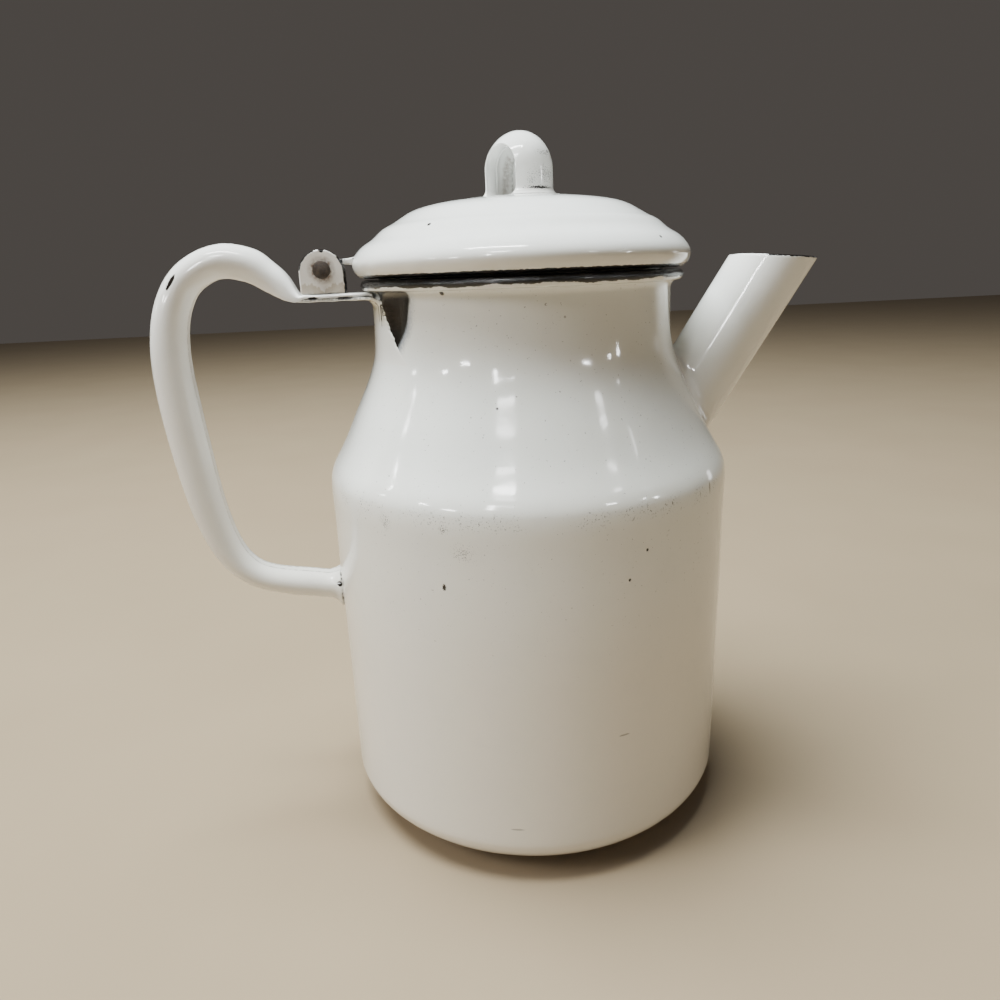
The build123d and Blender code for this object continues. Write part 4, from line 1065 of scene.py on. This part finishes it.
# ---------------------------------------------------------------- hinge leaf: strap rolled round the rivet
def ribbon(path, widths, thick, round_r, end_round=0.3):
    """A strap with rounded edges along a path in the XZ plane; widths and thicknesses at each point."""
    p = np.asarray(path, float)
    tan = np.gradient(p, axis=0)
    tan /= np.linalg.norm(tan, axis=1)[:, None]
    nrm = np.c_[-tan[:, 1], tan[:, 0]]
    rings_ = []
    for (c, n_, w_, t_) in zip(p, nrm, widths, thick):
        rr_ = min(round_r, t_ * 0.49)
        pts = []
        for cx, cy, a0 in ((w_ / 2 - rr_, t_ / 2 - rr_, 0), (-w_ / 2 + rr_, t_ / 2 - rr_, 90), (-w_ / 2 + rr_, -t_ / 2 + rr_, 180),
                           (w_ / 2 - rr_, -t_ / 2 + rr_, 270)):
            for a in np.radians(np.linspace(a0, a0 + 90, 6)):
                pts.append((cx + rr_ * math.cos(a), cy + rr_ * math.sin(a)))
            if a0 in (0, 180):
                sgn_ = 1 if a0 == 0 else -1
                for x_q in np.linspace(w_ / 2 - rr_, -w_ / 2 + rr_, 10)[1:-1] * sgn_:
                    pts.append((x_q, sgn_ * t_ / 2))
        pts = np.array(pts)
        rings_.append(np.c_[c[0] + n_[0] * pts[:, 1], pts[:, 0], c[1] + n_[1] * pts[:, 1]])
    m_, k_ = len(rings_), len(rings_[0])
    v = np.concatenate(rings_)
    v = np.r_[v, [rings_[0].mean(0)], [rings_[-1].mean(0)]]
    return v, [grid(m_, k_, wrap_v=True), fan(np.arange(k_), m_ * k_), fan(np.arange(k_) + (m_ - 1) * k_, m_ * k_ + 1, True)]


r_k = 1.62 + 0.72
path = [(-53.6, 196.25), (-55.2, 196.22), (-57.0, 196.2), (-59.0, 196.2), (-61.0, 196.19), (-63.0, 196.19), (-64.4, 196.19)]
for a in np.radians(np.linspace(90, 392, 44)):
    path.append((PIN_X + r_k * math.cos(a), PIN_Z + r_k * math.sin(a)))
path = np.array(path)
keep_i = np.r_[True, np.linalg.norm(np.diff(path, axis=0), axis=1) > 0.05]
path = path[keep_i]
wd = np.interp(np.arange(len(path)), [0, 2, 4, len(path) - 1], [9.9, 9.7, 9.4, 9.4])
tk = np.interp(np.arange(len(path)), [0, 1, 2, 3, 5, 7, len(path) - 1], [4.2, 2.5, 1.85, 1.75, 1.72, 1.42, 1.42])
parts = [ribbon(path, wd, tk, 0.42)]
V, F = joined(parts)
# grime and painted shade inside the rolled knuckle round the rivet
knuckle_grime_shade = np.clip(1 - np.abs(np.hypot(V[:, 0] - PIN_X, V[:, 2] - PIN_Z) - 1.7) / 0.5, 0, 1) * 0.8
ang_l = np.abs(V[:, 1])
chip = np.where((ang_l > 4.3) & (V[:, 0] < -57.5), 0.10, -3.0)
chip = np.maximum(chip, np.where(V[:, 1] < -3.0, 0.75 - np.hypot((V[:, 0] + 55.6) / 1.3, (V[:, 2] - 196.9) / 0.5), -3.0))
chip = np.maximum(chip, np.where(V[:, 1] < -3.0, 0.55 - np.hypot((V[:, 0] + 54.9) / 1.1, (V[:, 2] - 195.3) / 0.5), -3.0))
leaf_mat = enamel("leaf_enamel", (0.82, 0.82, 0.80), (0.80, 0.79, 0.76), 190.0, 197.0, 0.12, specks=0.55)
make("lid_hinge_leaf_piece", V, F, "lid", leaf_mat, ("lid_hinge_leaf",), {"grime_and_shade": knuckle_grime_shade, "dark": chip + 10}, 60.0)

# ---------------------------------------------------------------- loop knob
LT, L_TOP, L_OUT, L_EDGE, L_RIM, L_CH, L_W, L_RW, L_BOW = math.radians(-58.4), 234.5, 11.75, 7.5, 6.6, 8.9, 16.5, 4.8, 2.05
L_AT = (0.3, -0.8)
LC = L_TOP - L_OUT


def loop_section():
    w, g = L_W / 2, L_W / 2 - L_RW
    pts = []
    ys = np.sin(np.linspace(-1, 1, 41) * math.pi / 2 * 0.97) / math.sin(math.pi / 2 * 0.97)
    for y in ys:
        pts.append((L_OUT - (L_OUT - L_EDGE) * abs(y) ** L_BOW - 0.02, y * (w - 0.05), 1.0))
    # rounded outer edge, rim, and the channel
    for a in np.radians([20, 50, 80]):
        pts.append((L_EDGE - 0.42 * math.sin(a) - 0.05, w - 0.05 - 0.35 * (1 - math.cos(a)), 0.8))
    rim_y = np.linspace(w - 0.55, g + 0.35, 9)
    rim_r = L_RIM + 0.02 + 0.42 * np.abs(np.linspace(-1, 1, 9)) ** 2.4
    for y, r_q in zip(rim_y, rim_r):
        pts.append((r_q, y, 0.6))
    circ = []
    R_c = ((L_CH - L_RIM) ** 2 + g ** 2) / (2 * (L_CH - L_RIM))
    for y in np.linspace(g, -g, 21):
        circ.append((L_CH - R_c + math.sqrt(R_c ** 2 - y ** 2) if y * y < R_c * R_c else L_RIM, y, 0.5))
    circ = [(max(r_q, L_RIM + 0.30), y, k_q) for r_q, y, k_q in circ]
    pts += circ
    for y, r_q in zip(rim_y[::-1], rim_r[::-1]):
        pts.append((r_q, -y, 0.6))
    for a in np.radians([80, 50, 20]):
        pts.append((L_EDGE - 0.42 * math.sin(a) - 0.05, -(w - 0.05 - 0.35 * (1 - math.cos(a))), 0.8))
    return np.array(pts)


sec = loop_section()
tan = np.roll(sec[:, :2], -1, 0) - np.roll(sec[:, :2], 1, 0)
tan /= np.linalg.norm(tan, axis=1)[:, None] + 1e-9
nrm = np.c_[tan[:, 1], -tan[:, 0]]
if np.sum(nrm[:41, 0]) < 0:
    nrm = -nrm
lid_z = lambda r: np.interp(r, lid_out[:60, 0], lid_out[:60, 1])
rows = []


def leg_ring(z, side_sign):
    hgt = max(0.0, z - 214.45)
    rho = 2.9
    g = (rho - math.sqrt(rho ** 2 - (rho - min(hgt, rho)) ** 2)) if hgt < rho else 0.0
    if z < 214.45:
        g = rho
    r = sec[:, 0] + nrm[:, 0] * g * np.where(np.arange(len(sec)) > 46, 0.55, 1.0)
    y = sec[:, 1] + nrm[:, 1] * g
    return np.c_[side_sign * r, y, np.full(len(sec), z)]


zs = np.r_[213.75, 214.2, 214.45, 214.5, 214.62, 214.85, 215.2, 215.7, 216.3, 217.0, 217.6, np.linspace(218.3, LC, 7)]
for z in zs:
    rows.append(leg_ring(z, 1))
for a in np.radians(np.linspace(0, 180, 61))[1:-1]:
    rows.append(np.c_[sec[:, 0] * math.cos(a), sec[:, 1], LC + sec[:, 0] * math.sin(a)])
for z in zs[::-1]:
    rows.append(leg_ring(z, -1))
V = np.concatenate(rows)
m_, k_ = len(rows), len(sec)
V = np.r_[V, [rows[0].mean(0)], [rows[-1].mean(0)]]
ca, sa = math.cos(LT), math.sin(LT)
Vt = np.c_[V[:, 0] * ca - V[:, 1] * sa + L_AT[0], V[:, 0] * sa + V[:, 1] * ca + L_AT[1], V[:, 2]]


def on_loop(r, y, z):
    return (L_AT[0] + r * ca - y * sa, L_AT[1] + r * sa + y * ca, z)


F = [grid(m_, k_, wrap_v=True), fan(np.arange(k_), m_ * k_), fan(np.arange(k_) + (m_ - 1) * k_, m_ * k_ + 1, True)]
part_i = np.tile(np.arange(k_), m_)
chan = (part_i > 52) & (part_i < 74)
far_leg = V[:m_ * k_, 0] < 0
y_l = V[:m_ * k_, 1]
far_z = V[:m_ * k_, 2]
streak = np.clip((1.5 - np.abs(y_l - 1.7 - 0.10 * (far_z - 222))) / 0.8, 0, 1)
rust = chan * far_leg * streak * np.clip((231 - far_z) / 4, 0, 1) * 0.55
# painted shade on the shaded wall of the far leg's channel
channel_shade = chan * far_leg * np.clip((y_l - 2.9) / 0.7, 0, 1) * np.clip((231 - far_z) / 4, 0, 1) * 0.85
matte = chan * 0.6
hgt = V[:m_ * k_, 2] - 214.45
# grime and painted shade where the legs meet the lid, together with the channel's painted shade
grime_and_shade = np.maximum(np.clip(1 - np.abs(hgt) / 0.22, 0, 1) * 0.55, channel_shade)
loop_mat = enamel(
    "loop_enamel", (0.82, 0.83, 0.82), (0.80, 0.79, 0.765), 214.0, 226.0, 0.08, specks=0.575,
    marks=[dict(at=on_loop(11.4, -1.9, 216.35), r=(4.0, 2.4, 0.46), turn=-31.6, ragged=3.6, edge=0.2, less=0.1, tiny=True),
           dict(at=on_loop(11.2, 0.4, 226.6), r=(3.6, 3.0, 1.4), turn=-31.6, share=0.75, ragged=5.0, less=1.0, tiny=True),
           dict(at=on_loop(10.6, 2.9, 227.2), r=(0.8, 2.0, 0.7), turn=-31.6, share=0.6, ragged=2.4, less=0.3, tiny=True),
           dict(at=on_loop(11.0, 0.5, 220.4), r=(6.8, 4.2, 3.6), turn=-31.6, share=0.70, ragged=5.0, less=1.0, tiny=True),
           dict(at=on_loop(11.0, -4.5, 218.6), r=(2.6, 3.0, 2.6), turn=-31.6, share=0.62, ragged=5.0, less=1.05, tiny=True),
           dict(at=on_loop(-7.2, -3.6, 215.0), r=(1.2, 1.2, 0.4), ragged=1.4, tiny=True)])
make("lid_loop_piece", Vt, F, "lid", loop_mat, ("lid_loop",),
     {"rust": np.r_[rust, 0, 0], "matte": np.r_[matte, 0, 0], "grime_and_shade": np.r_[grime_and_shade, 0, 0]}, 55.0)

# ---------------------------------------------------------------- stage
floor_v = np.array([(-3000, -3000, 0), (3000, -3000, 0), (3000, 3000, 0), (-3000, 3000, 0)], float) * 0.001
fme = bpy.data.meshes.new("floor")
fme.from_pydata(floor_v.tolist(), [], [(0, 1, 2, 3)])
floor = bpy.data.objects.new("floor", fme)
bpy.context.scene.collection.objects.link(floor)
fme.materials.append(floor_mat())


def light(name, at, to, size, power, colour=(1, 1, 1), size_y=None, mirrored=True, lights=True):
    data = bpy.data.lights.new(name, "AREA")
    data.energy, data.color, data.size = power, colour, size
    if size_y:
        data.shape, data.size_y = "RECTANGLE", size_y
    ob = bpy.data.objects.new(name, data)
    ob.location = at
    ob.rotation_euler = (Vector(to) - Vector(at)).to_track_quat("-Z", "Y").to_euler()
    ob.visible_glossy, ob.visible_diffuse = mirrored, lights
    bpy.context.scene.collection.objects.link(ob)


def lamp(name, az, el, wide, high, radiance, dist=1.35, z0=0.15):
    """A small bright lamp for a highlight; az is counted from the front towards the spout, in degrees."""
    a, e = math.radians(az), math.radians(el)
    at = (dist * math.cos(e) * math.sin(a), -dist * math.cos(e) * math.cos(a), z0 + dist * math.sin(e))
    light(name, at, (0, 0, z0), wide, radiance * math.pi * wide * high, (1.0, 1.0, 1.0), high, lights=False)


light("key", (-1.50, -0.34, 1.22), (0, 0, 0.10), 0.70, 24.0, (1.0, 0.975, 0.93), mirrored=False)
light("fill", (1.15, -0.85, 0.45), (0, 0, 0.10), 0.9, 1.1, (1.0, 0.84, 0.62), mirrored=False)
light("top", (-0.30, 0.09, 1.45), (0, 0, 0.15), 0.8, 80.0, (0.945, 1.0, 0.985), mirrored=False)
lamp("window_low", -25.5, 44.0, 0.25, 0.085, 55.0)
lamp("window_high", -24.5, 38.4, 0.24, 0.045, 30.0)
lamp("blind", -24.0, 28.2, 0.30, 0.018, 36.0)
lamp("spout_line", -30.8, 25.4, 0.060, 0.22, 75.0)
lamp("left_a", -97.5, 24.0, 0.030, 0.060, 70.0)
lamp("left_b", -98.0, 15.5, 0.08, 0.035, 45.0)
lamp("left_c", -70.0, 19.0, 0.10, 0.050, 80.0)
lamp("left_d", -53.0, 15.0, 0.16, 0.050, 80.0)
lamp("right_a", 35.0, 17.0, 0.11, 0.045, 70.0)
lamp("right_b", 45.0, 33.0, 0.10, 0.05, 20.0)
lamp("right_c", 54.0, 12.5, 0.035, 0.060, 55.0)
lamp("right_d", 61.0, 9.0, 0.050, 0.110, 55.0)
lamp("right_e", 61.5, 25.5, 0.030, 0.060, 16.0)
lamp("side", 108.0, -2.0, 0.09, 0.24, 5.0, z0=0.20)
light("tube", (-0.338, -0.415, 1.37), (-0.156, 0.05, 0.20), 0.66, 15.0, (1.0, 1.0, 1.0), 0.060, lights=False)

world = bpy.data.worlds.new("studio")
bpy.context.scene.world = world
world.use_nodes = True
world.node_tree.nodes["Background"].inputs[0].default_value = (0.43, 0.385, 0.35, 1)
world.node_tree.nodes["Background"].inputs[1].default_value = 0.18

bpy.context.view_layer.update()
